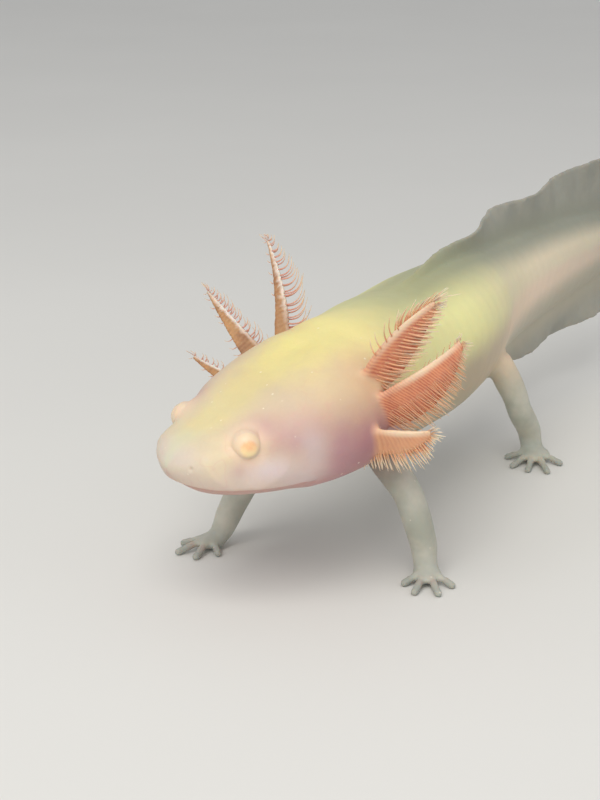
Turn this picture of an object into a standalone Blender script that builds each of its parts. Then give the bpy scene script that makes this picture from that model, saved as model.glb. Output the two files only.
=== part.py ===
"""A life-size young axolotl, standing still on its four feet with its head turned to its right.

The body follows one curved spine. Stations along the spine are distances from the tip of the
snout. The head points toward -X, the tail toward +X, +Z is up, and the floor is at Z = 0.
Sizes are in millimetres until a mesh is made. The object is placed by one empty, which puts the
middle of its bounding box over the origin.
"""

import math

import bmesh
import bpy
import numpy as np
from mathutils import Vector

MM = 0.001
OBJECT_NAME = "axolotl"

# Driving dimensions
LENGTH = 160.0  # along the spine, snout to tail tip
GAP = 0.3  # between neighbouring solids
SMALL = 0.01
GILL_STATION = 23.8
GILL_HEIGHT = 23.7  # of the spine over the floor, where the gills grow
SPINE_STEPS = 801

# Places along the body where one named piece ends and the next begins
BODY_PIECES = {
    "head": (0.12, 25.4),
    "neck": (25.4, 30.4),
    "trunk_front": (30.4, 46.0),
    "trunk_middle": (46.0, 62.0),
    "trunk_rear": (62.0, 81.0),
    "tail_base": (81.0, 106.0),
    "tail_middle": (106.0, 132.0),
    "tail_tip": (132.0, LENGTH),
}
RING_SPACING = {"head": 2.3, "neck": 1.3, "trunk_front": 2.6}
USUAL_SPACING = 4.2
RING_POINTS = 24
CLEARANCE_SNOUT = (0.1, 0.6, 1.5)
CLEARANCE_SPACING = 2.2
SNOUT_RINGS = (0.0, 0.35, 1.0, 2.2)  # closer together, behind the tip of the snout

# Knots of the curves that give the body its shape: (station, value)
HEADING = (  # degrees that the tailward direction turns from +X toward +Y
    (0, -29), (18, -29), (24, -21), (29, -3), (33, 6), (38, 7), (48, 3), (62, 1), (78, 0),
    (96, -4), (114, -9), (132, -10), (148, 0), (160, 9),
)
RISE = (  # degrees that the tailward direction climbs
    (0, 12.2), (18, 12.2), (25, 7), (32, -0.8), (45, -1.8), (62, -1.2), (78, 0.8), (96, 2.3), (114, 1.4),
    (132, -3), (160, -9),
)
HALF_WIDTH = (
    (0, 5.4), (2, 6.6), (5, 8.0), (8, 9.3), (11, 10.4), (15, 11.5), (19, 12.0), (22, 11.8),
    (26, 10.3), (30, 9.4), (36, 9.3), (46, 9.8), (58, 9.9), (68, 9.0), (76, 7.6), (83, 5.8),
    (92, 4.4), (106, 3.5), (124, 2.5), (142, 1.5), (160, 0.6),
)
HEIGHT_OVER_SPINE = (
    (0, 2.2), (3, 2.9), (7, 3.8), (11, 5.2), (15, 6.4), (19, 7.4), (23, 8.2), (28, 9.2),
    (36, 9.2), (48, 8.5), (60, 8.8), (72, 8.6), (84, 7.6), (100, 6.6), (120, 5.4), (140, 3.4),
    (160, 0.9),
)
DEPTH_UNDER_SPINE = (
    (0, 2.6), (3, 4.1), (7, 5.8), (12, 7.1), (18, 8.1), (24, 8.8), (29, 9.4), (36, 10.4),
    (48, 11.8), (60, 12.4), (72, 12.2), (79, 11.7), (86, 10.9), (100, 9.6), (120, 7.6), (140, 4.7),
    (160, 0.9),
)
SQUARENESS = ((0, 2.3), (8, 2.5), (15, 2.65), (24, 2.4), (36, 2.1), (80, 2.0), (160, 2.0))
NOSE_ROUND = 5.0  # length over which the snout rounds off
NOSE_ROUND_UP = 3.2

# Mouth
MOUTH_CORNER = 13.4
JAW_START = 0.9
JAW_WIDTH = 0.93  # of the upper lip's width
JAW_LEAST_DEPTH = 0.5
JAW_LEAST_HALF_WIDTH = 0.8
JAW_SPACING = 1.7
CORNER_CLEAR = 0.6  # no other ring is this near to the mouth's corner
MOUTH_LEVEL = ((0, 1.8), (4, 3.0), (9, 4.2), (MOUTH_CORNER, 4.7))

# Eyes, in the head's own axes (forward of the gills, left, up)
EYE_CENTRE = (16.0, 6.8, 2.05)
EYE_RADIUS = 1.8
SOCKET_GAP = 0.36
EYE_SEGMENTS = 14
EYE_BUMP_HEIGHT = 0.75
EYE_BUMP_RADIUS = 2.6
EYE_BUMP_LIFT = 1.0
EYE_BUMP_WAY = (0.8, 0.6)  # outward and up

# Fins: (station, height over or under the body)
DORSAL_FIN = (
    (38, 0.0), (48, 0.4), (60, 0.8), (70, 1.7), (78, 2.4), (84, 3.6), (90, 4.8), (98, 5.1),
    (105, 5.4), (111, 6.3), (118, 7.4), (126, 8.9), (132, 9.7), (140, 8.7), (150, 5.6), (157, 2.7),
    (160, 1.3),
)
VENTRAL_FIN = (
    (82, 0.6), (86, 2.0), (94, 3.2), (106, 4.5), (120, 5.6), (130, 6.0), (140, 5.3), (150, 3.9),
    (157, 2.2), (160, 1.1),
)
FIN_ROOT_HALF_THICKNESS = 0.55
FIN_EDGE_HALF_THICKNESS = 0.29
FIN_LEAST_SHARE = 0.8  # of the tail's half width, which the fin is never thicker than
FIN_WAVE_LENGTH = 24.5
FIN_WAVE_START = 95.7  # station of one upright point of the wave
FIN_WAVE = 0.25  # sideways sway of the fin's edge, per millimetre of fin height
MOST_FIN_WAVE = 0.95
FIN_ROWS = 4
FIN_RING_SPACING = 2.6
FIN_EXTRA_HEIGHT = 0.4  # so that the blade is not cut short by the gap at its root
FIN_RUNS = {  # heights, side of the body (1 over it, -1 under it), first and last station
    "dorsal_fin_trunk": (DORSAL_FIN, 1, 40.0, 81.0),
    "dorsal_fin_tail_base": (DORSAL_FIN, 1, 81.0, 106.0),
    "dorsal_fin_tail_middle": (DORSAL_FIN, 1, 106.0, 132.0),
    "dorsal_fin_tail_tip": (DORSAL_FIN, 1, 132.0, 159.4),
    "ventral_fin_tail_base": (VENTRAL_FIN, -1, 84.0, 106.0),
    "ventral_fin_tail_middle": (VENTRAL_FIN, -1, 106.0, 132.0),
    "ventral_fin_tail_tip": (VENTRAL_FIN, -1, 132.0, 159.4),
}

# Gills: root, way to the tip, bow, way that the long filaments point, all in the head's axes
# (forward, left, up); then the length of the filaments of the long and of the short row
GILLS = {
    "gill_left_upper": (
        (-0.9, 9.7, 5.0), (-6.0, 8.8, 10.1), (2.1, -0.9, 1.2), (-0.55, 0.35, -0.6), 3.6, 2.2,
    ),
    "gill_left_middle": (
        (-0.3, 10.0, 2.3), (-8.4, 8.9, 6.6), (0.4, 1.6, 0.4), (-0.35, 0.3, -0.85), 4.1, 0.9,
    ),
    "gill_left_lower": (
        (0.2, 10.1, -0.6), (-3.5, 8.8, -0.3), (0.9, 0.4, -0.9), (-0.25, 0.1, -0.95), 3.7, 0.8,
    ),
    "gill_right_upper": (
        (-1.6, -9.0, 4.5), (-4.7, -7.4, 12.0), (-1.3, 1.2, -0.5), (-0.8, 0.45, 0.1), 3.0, 0.8,
    ),
    "gill_right_middle": (
        (-0.3, -10.4, 1.5), (0.6, -12.7, 8.4), (0.5, -0.6, 1.1), (-0.85, 0.4, 0.0), 2.3, 1.2,
    ),
    "gill_right_lower": (
        (0.6, -10.2, -1.5), (4.0, -12.6, 3.6), (0.8, 0.4, -0.7), (-0.85, 0.1, 0.1), 1.6, 0.7,
    ),
}
GILL_ROOT_DEPTH = 2.2  # length of the stalk inside the head, before it is cut off
GILL_STALK_RADIUS = 0.75
GILL_TIP_RADIUS = 0.34
GILL_BLADE_HALF_THICKNESS = 0.28
GILL_TEETH = 7
STALK_DEGREES = (50, 90, 130)
BLADE_START = 0.12  # share of the stalk where the blade begins
BLADE_LEAST = 0.12  # its height at its ends, as a share of its full height
BLADE_SKEW = 0.62  # below 1 the blade is highest before the middle
BLADE_FULLNESS = 0.7  # below 1 the blade keeps its height for longer
BLADE_FOOT = 0.7  # of the stalk's radius, where the filaments start
TOOTH_LEAN = 0.45  # toward the tip, per millimetre of filament
TOOTH_VALLEY = 0.6  # of the tooth's length

# Legs, from the joint at the body: joint, elbow or knee, wrist or ankle, palm centre, heading of
# the foot (degrees from -X toward the body). Digits: (angle toward the body, reach from the palm)
LEGS = {
    "left_fore": ((5.5, -4.6, 16.4), (2.7, -11.2, 10.6), (4.5, -12.6, 2.9), (2.9, -13.5, 1.0), -24),
    "right_fore": ((6.5, 6.6, 16.2), (5.6, 12.6, 10.6), (3.4, 16.0, 2.9), (1.5, 17.0, 1.0), -18),
    "left_hind": ((51.5, -4.6, 16.4), (52.3, -7.9, 9.6), (56.6, -8.8, 2.9), (55.0, -10.0, 1.0), -12),
    "right_hind": ((48.5, 7.0, 16.4), (45.6, 13.6, 10.2), (48.8, 16.2, 2.9), (46.8, 17.4, 1.0), -30),
}
FORE_DIGITS = ((60, 3.9), (21, 5.4), (-14, 5.6), (-54, 4.3))
HIND_DIGITS = ((80, 4.6), (30, 5.9), (2, 6.6), (-24, 7.2), (-66, 5.0))
LEG_RADII = {"fore": (2.0, 1.95, 1.8, 1.55), "hind": (2.1, 1.9, 1.85, 1.65)}
FLOOR_BLOCK = (400.0, 400.0, 20.0)
PALM_RINGS = 7
PALM_SIDES = 10
PALM_END = 0.97  # share of the palm's half length where its last ring lies
PALM_HALF_SIZE = {"fore": (2.1, 2.0, 1.05), "hind": (2.4, 2.5, 1.1)}  # along, across, up
DIGIT_ROOT_RADIUS = 0.72
DIGIT_TIP_RADIUS = 0.38
DIGIT_ARCH = 0.7
DIGIT_ROOT_SHARE = 0.4  # of the palm's half length, where the digits start
DIGIT_ROOT_DROP = 0.25  # under the palm's middle
DIGIT_TIP_DROP = 0.67
LEG_SIDES = 10
DIGIT_SIDES = 6
DIGIT_RINGS = 4
TANGENT_STEP = 0.01
LEG_GAP = 0.4  # between the pieces of a leg
UPPER_SHARE = 0.47  # of the leg's length that is the upper piece
LOWER_SHARE = 0.8
LEG_STEP = 0.09  # between rings, as a share of the leg's length
ANKLE_RINGS = 4
HEEL_SHARE = 0.45  # of the way from under the wrist to the palm's centre, where the leg comes down


# ---------------------------------------------------------------- curves

def smooth(knots, place):
    """Value at a place on a smooth curve through the knots, which never overshoots them.

    Each piece is a cubic, whose slope at a knot is the harmonic mean of the chords beside it.
    """
    x, y = np.array(knots, float).T
    step = np.diff(x)
    chord = np.diff(y) / step
    slope = np.zeros_like(y)
    slope[0], slope[-1] = chord[0], chord[-1]
    before, after = chord[:-1], chord[1:]
    agree = before * after > 0
    slope[1:-1][agree] = 2 * before[agree] * after[agree] / (before[agree] + after[agree])
    place = np.clip(np.asarray(place, float), x[0], x[-1])
    i = np.clip(np.searchsorted(x, place, side="right") - 1, 0, len(step) - 1)
    u = (place - x[i]) / step[i]
    return (
        y[i] * (1 + 2 * u) * (1 - u) ** 2
        + y[i + 1] * u * u * (3 - 2 * u)
        + step[i] * u * (1 - u) * (slope[i] * (1 - u) - slope[i + 1] * u)
    )


def unit(v):
    """The vectors at unit length."""
    return v / np.linalg.norm(v, axis=-1, keepdims=True)


def directions(station):
    """Tailward, left and upward unit vectors of the spine at each station."""
    heading = np.radians(smooth(HEADING, station))
    rise = np.radians(smooth(RISE, station))
    tailward = np.stack(
        [np.cos(heading) * np.cos(rise), np.sin(heading) * np.cos(rise), np.sin(rise)], -1
    )
    left = unit(np.cross(tailward, [0.0, 0.0, 1.0]))
    return tailward, left, np.cross(left, tailward)


STATIONS = np.linspace(0, LENGTH, SPINE_STEPS)


def spine_points():
    """The spine as the running sum of its tailward direction, moved so the gills are at X = Y = 0."""
    tailward = directions(STATIONS)[0]
    steps = (tailward[1:] + tailward[:-1]) / 2 * np.diff(STATIONS)[:, None]
    points = np.vstack([np.zeros(3), np.cumsum(steps, axis=0)])
    at_gills = [np.interp(GILL_STATION, STATIONS, points[:, k]) for k in range(3)]
    return points - at_gills + [0, 0, GILL_HEIGHT]


SPINE = spine_points()


def spine(station):
    """Points on the spine."""
    return np.stack([np.interp(station, STATIONS, SPINE[:, k]) for k in range(3)], -1)


def head_point(along, left, up):
    """A point given in the head's own axes, whose origin is the spine at the gills."""
    tailward, to_left, upward = directions(0.0)
    return spine(GILL_STATION) - along * tailward + left * to_left + up * upward


def head_vector(along, left, up):
    """A direction given in the head's own axes."""
    return head_point(along, left, up) - head_point(0, 0, 0)


# ---------------------------------------------------------------- body surface

def nose_rounding(station, length):
    """Quarter circle from 0 at the snout's tip to 1 at the given length."""
    return np.sqrt(1 - (1 - np.clip(station / length, 0, 1)) ** 2)


def half_width(station):
    return smooth(HALF_WIDTH, station) * nose_rounding(station, NOSE_ROUND)


def height_over(station):
    return smooth(HEIGHT_OVER_SPINE, station) * nose_rounding(station, NOSE_ROUND_UP)


def depth_under(station):
    return smooth(DEPTH_UNDER_SPINE, station) * nose_rounding(station, NOSE_ROUND_UP)


def section(station, grown=0.0, points=RING_POINTS):
    """Left and up offsets of the body's outline: a superellipse, taller or deeper than wide."""
    angle = np.linspace(0, 2 * np.pi, points, endpoint=False)
    power = 2 / smooth(SQUARENESS, station)
    cosine, sine = np.cos(angle), np.sin(angle)
    upper = np.where(sine >= 0, height_over(station), depth_under(station)) + grown
    across = (half_width(station) + grown) * np.sign(cosine) * np.abs(cosine) ** power
    return across, upper * np.sign(sine) * np.abs(sine) ** power


def place_ring(station, across, up):
    """World points of a ring of left and up offsets at a station."""
    _, left, upward = directions(station)
    return spine(station) + across[:, None] * left + up[:, None] * upward


def eye_points():
    """Centres of the left and the right eyeball."""
    return [head_point(EYE_CENTRE[0], side * EYE_CENTRE[1], EYE_CENTRE[2]) for side in (1, -1)]


def raise_eye_bumps(ring):
    """Skin round each eye swells up by a bell curve of its distance to the eye."""
    lifted = ring.copy()
    for centre, side in zip(eye_points(), (1, -1)):
        away = unit(head_vector(0.0, side * EYE_BUMP_WAY[0], EYE_BUMP_WAY[1]))
        apart = np.linalg.norm(ring - centre - away * EYE_BUMP_LIFT, axis=1)
        swell = EYE_BUMP_HEIGHT * np.exp(-((apart / EYE_BUMP_RADIUS) ** 2))
        lifted += swell[:, None] * away
    return lifted


def body_ring(station, grown=0.0):
    """One ring of the body's outline."""
    return raise_eye_bumps(place_ring(station, *section(station, grown)))


def head_ring(station):
    """A ring of the head, whose underside ends at the mouth in front of the mouth's corner."""
    across, up = section(station)
    if station < MOUTH_CORNER:
        up = np.maximum(up, GAP / 2 - smooth(MOUTH_LEVEL, station))
    return raise_eye_bumps(place_ring(station, across, up))


def jaw_ring(station):
    """A ring of the lower jaw: flat on top, the body's outline below, narrower than the lip."""
    power = smooth(SQUARENESS, station)
    level = smooth(MOUTH_LEVEL, station) + GAP / 2
    deep = max(depth_under(station), level + JAW_LEAST_DEPTH)
    lip = half_width(station) * (1 - (level / deep) ** power) ** (1 / power)
    angle = np.linspace(0, 2 * np.pi, RING_POINTS, endpoint=False)
    across = max(lip, JAW_LEAST_HALF_WIDTH) * JAW_WIDTH * np.cos(angle)
    up = -level + (deep - level) * np.minimum(np.sin(angle), 0)
    return place_ring(station, across, up)


def spread(start, end, spacing):
    """Stations at about the given spacing, both ends included."""
    return np.linspace(start, end, max(2, round((end - start) / spacing) + 1))


# ---------------------------------------------------------------- making objects

def new_collection(name):
    made = bpy.data.collections.new(name)
    bpy.context.scene.collection.children.link(made)
    return made


def clear_scene():
    for obj in list(bpy.data.objects):
        bpy.data.objects.remove(obj, do_unlink=True)


def material(name, colour, roughness):
    """A Principled material. Living skin has no metallic part."""
    made = bpy.data.materials.new(name)
    made.use_nodes = True
    shader = made.node_tree.nodes["Principled BSDF"]
    shader.inputs["Base Color"].default_value = (*colour, 1.0)
    shader.inputs["Roughness"].default_value = roughness
    shader.inputs["Metallic"].default_value = 0.0
    return made


def loft(rings):
    """A bmesh through rings with equal numbers of points, closed by a fan at each end."""
    mesh = bmesh.new()
    rows = [[mesh.verts.new(Vector(point) * MM) for point in ring] for ring in rings]
    for row, following in zip(rows, rows[1:]):
        for k in range(len(row)):
            after = (k + 1) % len(row)
            mesh.faces.new((row[k], row[after], following[after], following[k]))
    for row in (rows[0], rows[-1]):
        middle = mesh.verts.new(sum((v.co for v in row), Vector()) / len(row))
        for k in range(len(row)):
            mesh.faces.new((row[k], row[(k + 1) % len(row)], middle))
    bmesh.ops.recalc_face_normals(mesh, faces=mesh.faces)
    return mesh


def add_object(name, mesh, where, skin=None):
    """An object from a bmesh, with its origin at the middle of its points."""
    middle = sum((v.co for v in mesh.verts), Vector()) / len(mesh.verts)
    bmesh.ops.translate(mesh, vec=-middle, verts=mesh.verts)
    data = bpy.data.meshes.new(name)
    mesh.to_mesh(data)
    mesh.free()
    data.shade_smooth()
    obj = bpy.data.objects.new(name, data)
    obj.location = middle
    if skin:
        data.materials.append(skin)
    where.objects.link(obj)
    return obj


def boolean(obj, other, operation):
    """A live exact Boolean on an object. The other one becomes a hidden helper."""
    change = obj.modifiers.new(f"{operation.lower()}_{other.name}", "BOOLEAN")
    change.object = other
    change.operation = operation
    change.solver = "EXACT"
    other.hide_render = True
    other.display_type = "WIRE"


# ---------------------------------------------------------------- body and fins

def make_body(parts, skins):
    """Head, neck, trunk and tail, a loft each, with a narrow gap between neighbours."""
    for name, (start, end) in BODY_PIECES.items():
        ring = head_ring if name == "head" else body_ring
        first = start if name == "head" else start + GAP / 2
        last = end if name == "tail_tip" else end - GAP / 2
        stations = spread(first, last, RING_SPACING.get(name, USUAL_SPACING))
        if name == "head":
            snout = first + np.array(SNOUT_RINGS)
            rest = stations[stations > NOSE_ROUND_UP]
            near = np.abs(rest - MOUTH_CORNER) < CORNER_CLEAR
            corner = [MOUTH_CORNER - GAP / 2, MOUTH_CORNER + SMALL]
            stations = np.sort(np.concatenate([snout, rest[~near], corner]))
        add_object(name, loft([ring(s) for s in stations]), parts, skins["skin"])
    stations = spread(JAW_START, MOUTH_CORNER - GAP - SMALL, JAW_SPACING)
    add_object("lower_jaw", loft([jaw_ring(s) for s in stations]), parts, skins["skin"])


def make_clearance(helpers):
    """The whole body grown by the gap. It trims whatever grows from the body."""
    stations = np.concatenate([CLEARANCE_SNOUT, spread(3.0, LENGTH - 1, CLEARANCE_SPACING)])
    return add_object(
        "body_clearance", loft([body_ring(s, GAP) for s in stations]), helpers
    )


def fin_ring(station, height, sense):
    """A tapering blade on the back (sense 1) or under the tail (sense -1), which sways at its edge."""
    body = height_over(station) if sense > 0 else depth_under(station)
    share = np.linspace(0, 1, FIN_ROWS)
    half = FIN_ROOT_HALF_THICKNESS + (FIN_EDGE_HALF_THICKNESS - FIN_ROOT_HALF_THICKNESS) * share
    half = np.minimum(half, FIN_LEAST_SHARE * half_width(station))
    turn = 2 * np.pi * (station - FIN_WAVE_START) / FIN_WAVE_LENGTH
    sway = min(FIN_WAVE * height, MOST_FIN_WAVE) * share**2 * np.sin(turn)
    up = sense * (body + GAP + SMALL + height * share)
    across = np.concatenate([sway - half, (sway + half)[::-1]])
    return place_ring(station, across, np.concatenate([up, up[::-1]]))


def make_fins(parts, skins):
    """Fins over the trunk, and over and under the tail, cut where the body pieces meet."""
    for name, (heights, sense, start, end) in FIN_RUNS.items():
        stations = spread(start + GAP / 2, end - GAP / 2, FIN_RING_SPACING)
        rings = [fin_ring(s, smooth(heights, s) + FIN_EXTRA_HEIGHT, sense) for s in stations]
        add_object(name, loft(rings), parts, skins["fin"])


# ---------------------------------------------------------------- eyes

def ball(name, centre, radius, where, skin=None):
    """A UV sphere."""
    mesh = bmesh.new()
    bmesh.ops.create_uvsphere(
        mesh, u_segments=EYE_SEGMENTS, v_segments=EYE_SEGMENTS // 2, radius=radius * MM
    )
    bmesh.ops.translate(mesh, vec=Vector(centre) * MM, verts=mesh.verts)
    return add_object(name, mesh, where, skin)


def make_eyes(parts, helpers, skins):
    """Eyeballs in round sockets that are wider by the gap."""
    head = parts.objects["head"]
    for side, centre in zip(("left", "right"), eye_points()):
        ball(f"eye_{side}", centre, EYE_RADIUS, parts, skins["eye"])
        socket = ball(f"socket_{side}", centre, EYE_RADIUS + SOCKET_GAP, helpers)
        boolean(head, socket, "DIFFERENCE")


# ---------------------------------------------------------------- gills

def bezier(points, t):
    """Points and unit tangents of a quadratic Bezier curve."""
    a, b, c = (np.asarray(p, float) for p in points)
    t = np.asarray(t)[:, None]
    where = a * (1 - t) ** 2 + b * 2 * t * (1 - t) + c * t**2
    return where, unit(2 * (1 - t) * (b - a) + 2 * t * (c - b))


def gill_rings(root, reach, bow, comb, long_row, short_row):
    """Rings of one gill: a tapering stalk with a thin toothed blade along two sides of it.

    Odd rings run out to the tips of filaments and even rings stop in the valley between them.
    """
    start = head_point(*root)
    way = head_vector(*reach)
    inside = start - unit(way) * GILL_ROOT_DEPTH
    middle = start + way / 2 + head_vector(*bow)
    steps = 2 * GILL_TEETH + 3
    t = np.linspace(0, 1, steps)
    centre, tangent = bezier((inside, middle, start + way), t)
    comb = unit(head_vector(*comb))
    rings = []
    for k in range(steps):
        out = unit(comb - tangent[k] * (comb @ tangent[k]))
        flat = np.cross(tangent[k], out)
        radius = GILL_STALK_RADIUS * (1 - t[k]) ** 0.8 + GILL_TIP_RADIUS
        grown = max(0.0, (t[k] - BLADE_START) / (1 - BLADE_START))
        envelope = np.sin(np.pi * grown**BLADE_SKEW) ** BLADE_FULLNESS
        share = (1.0 if k % 2 else TOOTH_VALLEY) * (BLADE_LEAST + (1 - BLADE_LEAST) * envelope)
        rings.append(
            gill_ring(centre[k], tangent[k], out, flat, radius, share * long_row, share * short_row)
        )
    return rings


def gill_ring(centre, tangent, out, flat, radius, long_row, short_row):
    """A stalk's half circles, with a blade's edge on each side that leans toward the tip."""
    points = []
    for sense, reach in ((1, long_row), (-1, short_row)):
        edge = centre + sense * out * (radius * BLADE_FOOT + reach) + tangent * TOOTH_LEAN * reach
        thickness = flat * min(GILL_BLADE_HALF_THICKNESS, radius)
        points += [edge - sense * thickness, edge + sense * thickness]
        for degrees in STALK_DEGREES:
            angle = math.radians(degrees)
            points.append(
                centre + sense * radius * (out * math.cos(angle) + flat * math.sin(angle))
            )
    return points


def make_gills(parts, clearance, skins):
    for name, shape in GILLS.items():
        gill = add_object(name, loft(gill_rings(*shape)), parts, skins["gill"])
        boolean(gill, clearance, "DIFFERENCE")


# ---------------------------------------------------------------- legs

def tube_rings(points, tangent, radii, sides):
    """Round rings along a path, square to its tangents."""
    side = unit(np.cross(tangent, [0.0, 0.0, 1.0]) + [0, 1e-6, 0])
    over = np.cross(side, tangent)
    angle = np.linspace(0, 2 * np.pi, sides, endpoint=False)
    radii = np.broadcast_to(radii, len(points))
    return [
        p + r * (np.cos(angle)[:, None] * s + np.sin(angle)[:, None] * o)
        for p, r, s, o in zip(points, radii, side, over)
    ]


def runs(joints):
    """Shares of the leg's length at its joints, and that length."""
    lengths = np.linalg.norm(np.diff(joints, axis=0), axis=1)
    return np.concatenate([[0], np.cumsum(lengths)]) / lengths.sum(), lengths.sum()


def limb_rings(joints, share, radii):
    """Round rings on a rounded path through the joints, at shares of its length."""
    joints = np.asarray(joints, float)
    run = runs(joints)[0]

    def path(where):
        return np.stack([smooth(list(zip(run, joints[:, k])), where) for k in range(3)], -1)

    tangent = unit(path(share + TANGENT_STEP) - path(share - TANGENT_STEP))
    return tube_rings(path(share), tangent, smooth(list(zip(run, radii)), share), LEG_SIDES)


def ankle_rings(top, heel, radius):
    """Rings that blend in equal steps from the leg's last ring to a level circle round the heel."""
    level = (top - top.mean(axis=0)) * [1, 1, 0]
    sole = heel + radius * unit(level)
    return [top + (sole - top) * share for share in np.linspace(0, 1, ANKLE_RINGS)]


def make_leg(name, kind, names, parts, helpers, clearance, floor, skins):
    """Upper piece, lower piece and hand or foot of one leg."""
    joint, elbow, wrist, palm, facing = LEGS[name]
    toward_body = 1 if joint[1] < 0 else -1
    facing *= toward_body
    heel = (*(np.array(wrist) * (1 - HEEL_SHARE) + np.array(palm) * HEEL_SHARE)[:2], palm[2])
    joints = (joint, elbow, wrist, heel)
    half_gap = LEG_GAP / 2 / runs(joints)[1]
    cuts = {names[0]: (0, UPPER_SHARE - half_gap), names[1]: (UPPER_SHARE + half_gap, LOWER_SHARE)}
    for piece, (start, end) in cuts.items():
        rings = limb_rings(joints, spread(start, end, LEG_STEP), LEG_RADII[kind])
        made = add_object(piece, loft(rings), parts, skins["limb"])
        boolean(made, clearance, "DIFFERENCE")
    top = limb_rings(joints, np.array([LOWER_SHARE + 2 * half_gap]), LEG_RADII[kind])[0]
    ankle = ankle_rings(top, np.array(heel), LEG_RADII[kind][-1])
    foot = make_foot(names[2], kind, palm, facing, toward_body, parts, helpers, skins)
    boolean(foot, add_object(f"{names[2]}_ankle", loft(ankle), helpers), "UNION")
    boolean(foot, floor, "DIFFERENCE")


def make_foot(name, kind, palm, facing, toward_body, parts, helpers, skins):
    """A flat oval palm joined with its digits, which fan out ahead of it."""
    along, across, up = PALM_HALF_SIZE[kind]
    palm = np.array(palm)
    facing = math.radians(facing)
    ahead = np.array([-math.cos(facing), math.sin(facing), 0.0])
    aside = np.array([-ahead[1], ahead[0], 0.0])
    share = np.linspace(-PALM_END, PALM_END, PALM_RINGS)
    angle = np.linspace(0, 2 * np.pi, PALM_SIDES, endpoint=False)
    rings = [
        palm + s * along * ahead
        + math.sqrt(1 - s * s)
        * (across * np.cos(angle)[:, None] * aside + up * np.sin(angle)[:, None] * np.array([0, 0, 1]))
        for s in share
    ]
    foot = add_object(name, loft(rings), parts, skins["limb"])
    for number, (fan, length) in enumerate(FORE_DIGITS if kind == "fore" else HIND_DIGITS, 1):
        turned = facing + toward_body * math.radians(fan)
        out = np.array([-math.cos(turned), math.sin(turned), 0.0])
        steps = np.linspace(0, 1, DIGIT_RINGS)
        root = along * DIGIT_ROOT_SHARE
        path = palm + out * (root + (length - root) * steps[:, None])
        path[:, 2] += DIGIT_ARCH * np.sin(np.pi * steps) * (1 - steps)
        path[:, 2] -= DIGIT_ROOT_DROP + (DIGIT_TIP_DROP - DIGIT_ROOT_DROP) * steps
        radius = DIGIT_ROOT_RADIUS + (DIGIT_TIP_RADIUS - DIGIT_ROOT_RADIUS) * steps
        tangent = unit(np.gradient(path, axis=0))
        digit = loft(tube_rings(path, tangent, radius, DIGIT_SIDES))
        boolean(foot, add_object(f"{name}_digit_{number}", digit, helpers), "UNION")
    return foot


def make_floor_cutter(helpers):
    """A block under the floor, which levels the soles."""
    mesh = bmesh.new()
    bmesh.ops.create_cube(mesh, size=1.0)
    bmesh.ops.scale(mesh, vec=Vector(FLOOR_BLOCK) * MM, verts=mesh.verts)
    bmesh.ops.translate(mesh, vec=Vector((0, 0, -FLOOR_BLOCK[2] / 2)) * MM, verts=mesh.verts)
    return add_object("floor_cutter", mesh, helpers)


def make_legs(parts, helpers, clearance, skins):
    floor = make_floor_cutter(helpers)
    words = {"fore": ("upper_arm", "forearm", "hand"), "hind": ("thigh", "shin", "foot")}
    for side in ("left", "right"):
        for kind, pieces in words.items():
            names = [f"{piece}_{side}" for piece in pieces]
            make_leg(f"{side}_{kind}", kind, names, parts, helpers, clearance, floor, skins)


# ---------------------------------------------------------------- placing

def world_box(objects):
    """Lowest and highest corner of the finished solids."""
    graph = bpy.context.evaluated_depsgraph_get()
    corners = []
    for obj in objects:
        shape = obj.evaluated_get(graph)
        corners += [shape.matrix_world @ Vector(corner) for corner in shape.bound_box]
    corners = np.array(corners)
    return corners.min(axis=0), corners.max(axis=0)


def place_on_origin(parts, helpers):
    """Hangs everything on one empty, and moves it so that the box is centred over the origin."""
    root = bpy.data.objects.new(f"{OBJECT_NAME}_origin", None)
    parts.objects.link(root)
    for obj in list(parts.objects) + list(helpers.objects):
        if obj is not root:
            obj.parent = root
    bpy.context.view_layer.update()
    low, high = world_box([obj for obj in parts.objects if obj.type == "MESH"])
    root.location = (-(low[0] + high[0]) / 2, -(low[1] + high[1]) / 2, -low[2])


def main():
    clear_scene()
    parts = new_collection(OBJECT_NAME)
    helpers = new_collection(f"{OBJECT_NAME}_cutters")
    skins = {
        "skin": material("axolotl_skin", (0.86, 0.70, 0.45), 0.42),
        "fin": material("axolotl_fin", (0.70, 0.70, 0.58), 0.40),
        "limb": material("axolotl_limb", (0.74, 0.70, 0.62), 0.42),
        "gill": material("axolotl_gill", (0.78, 0.28, 0.17), 0.45),
        "eye": material("axolotl_eye", (0.93, 0.52, 0.18), 0.12),
    }
    make_body(parts, skins)
    make_fins(parts, skins)
    make_eyes(parts, helpers, skins)
    clearance = make_clearance(helpers)
    make_gills(parts, clearance, skins)
    make_legs(parts, helpers, clearance, skins)
    place_on_origin(parts, helpers)


main()
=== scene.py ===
"""Looks of a life-size young golden axolotl that stands still on its four feet.

The animal is drawn by curves along one spine. A station is the distance along the spine from the
tip of the snout. The head points toward -X, the tail toward +X, and the animal's left side toward
-Y. Shapes are worked out in millimetres with the spine at the gills over X = Y = 0, and in_frame()
then moves them into the frame. All soft parts become one skin. The eyes and the gills' filaments
are pieces of their own.
"""

import math

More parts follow.
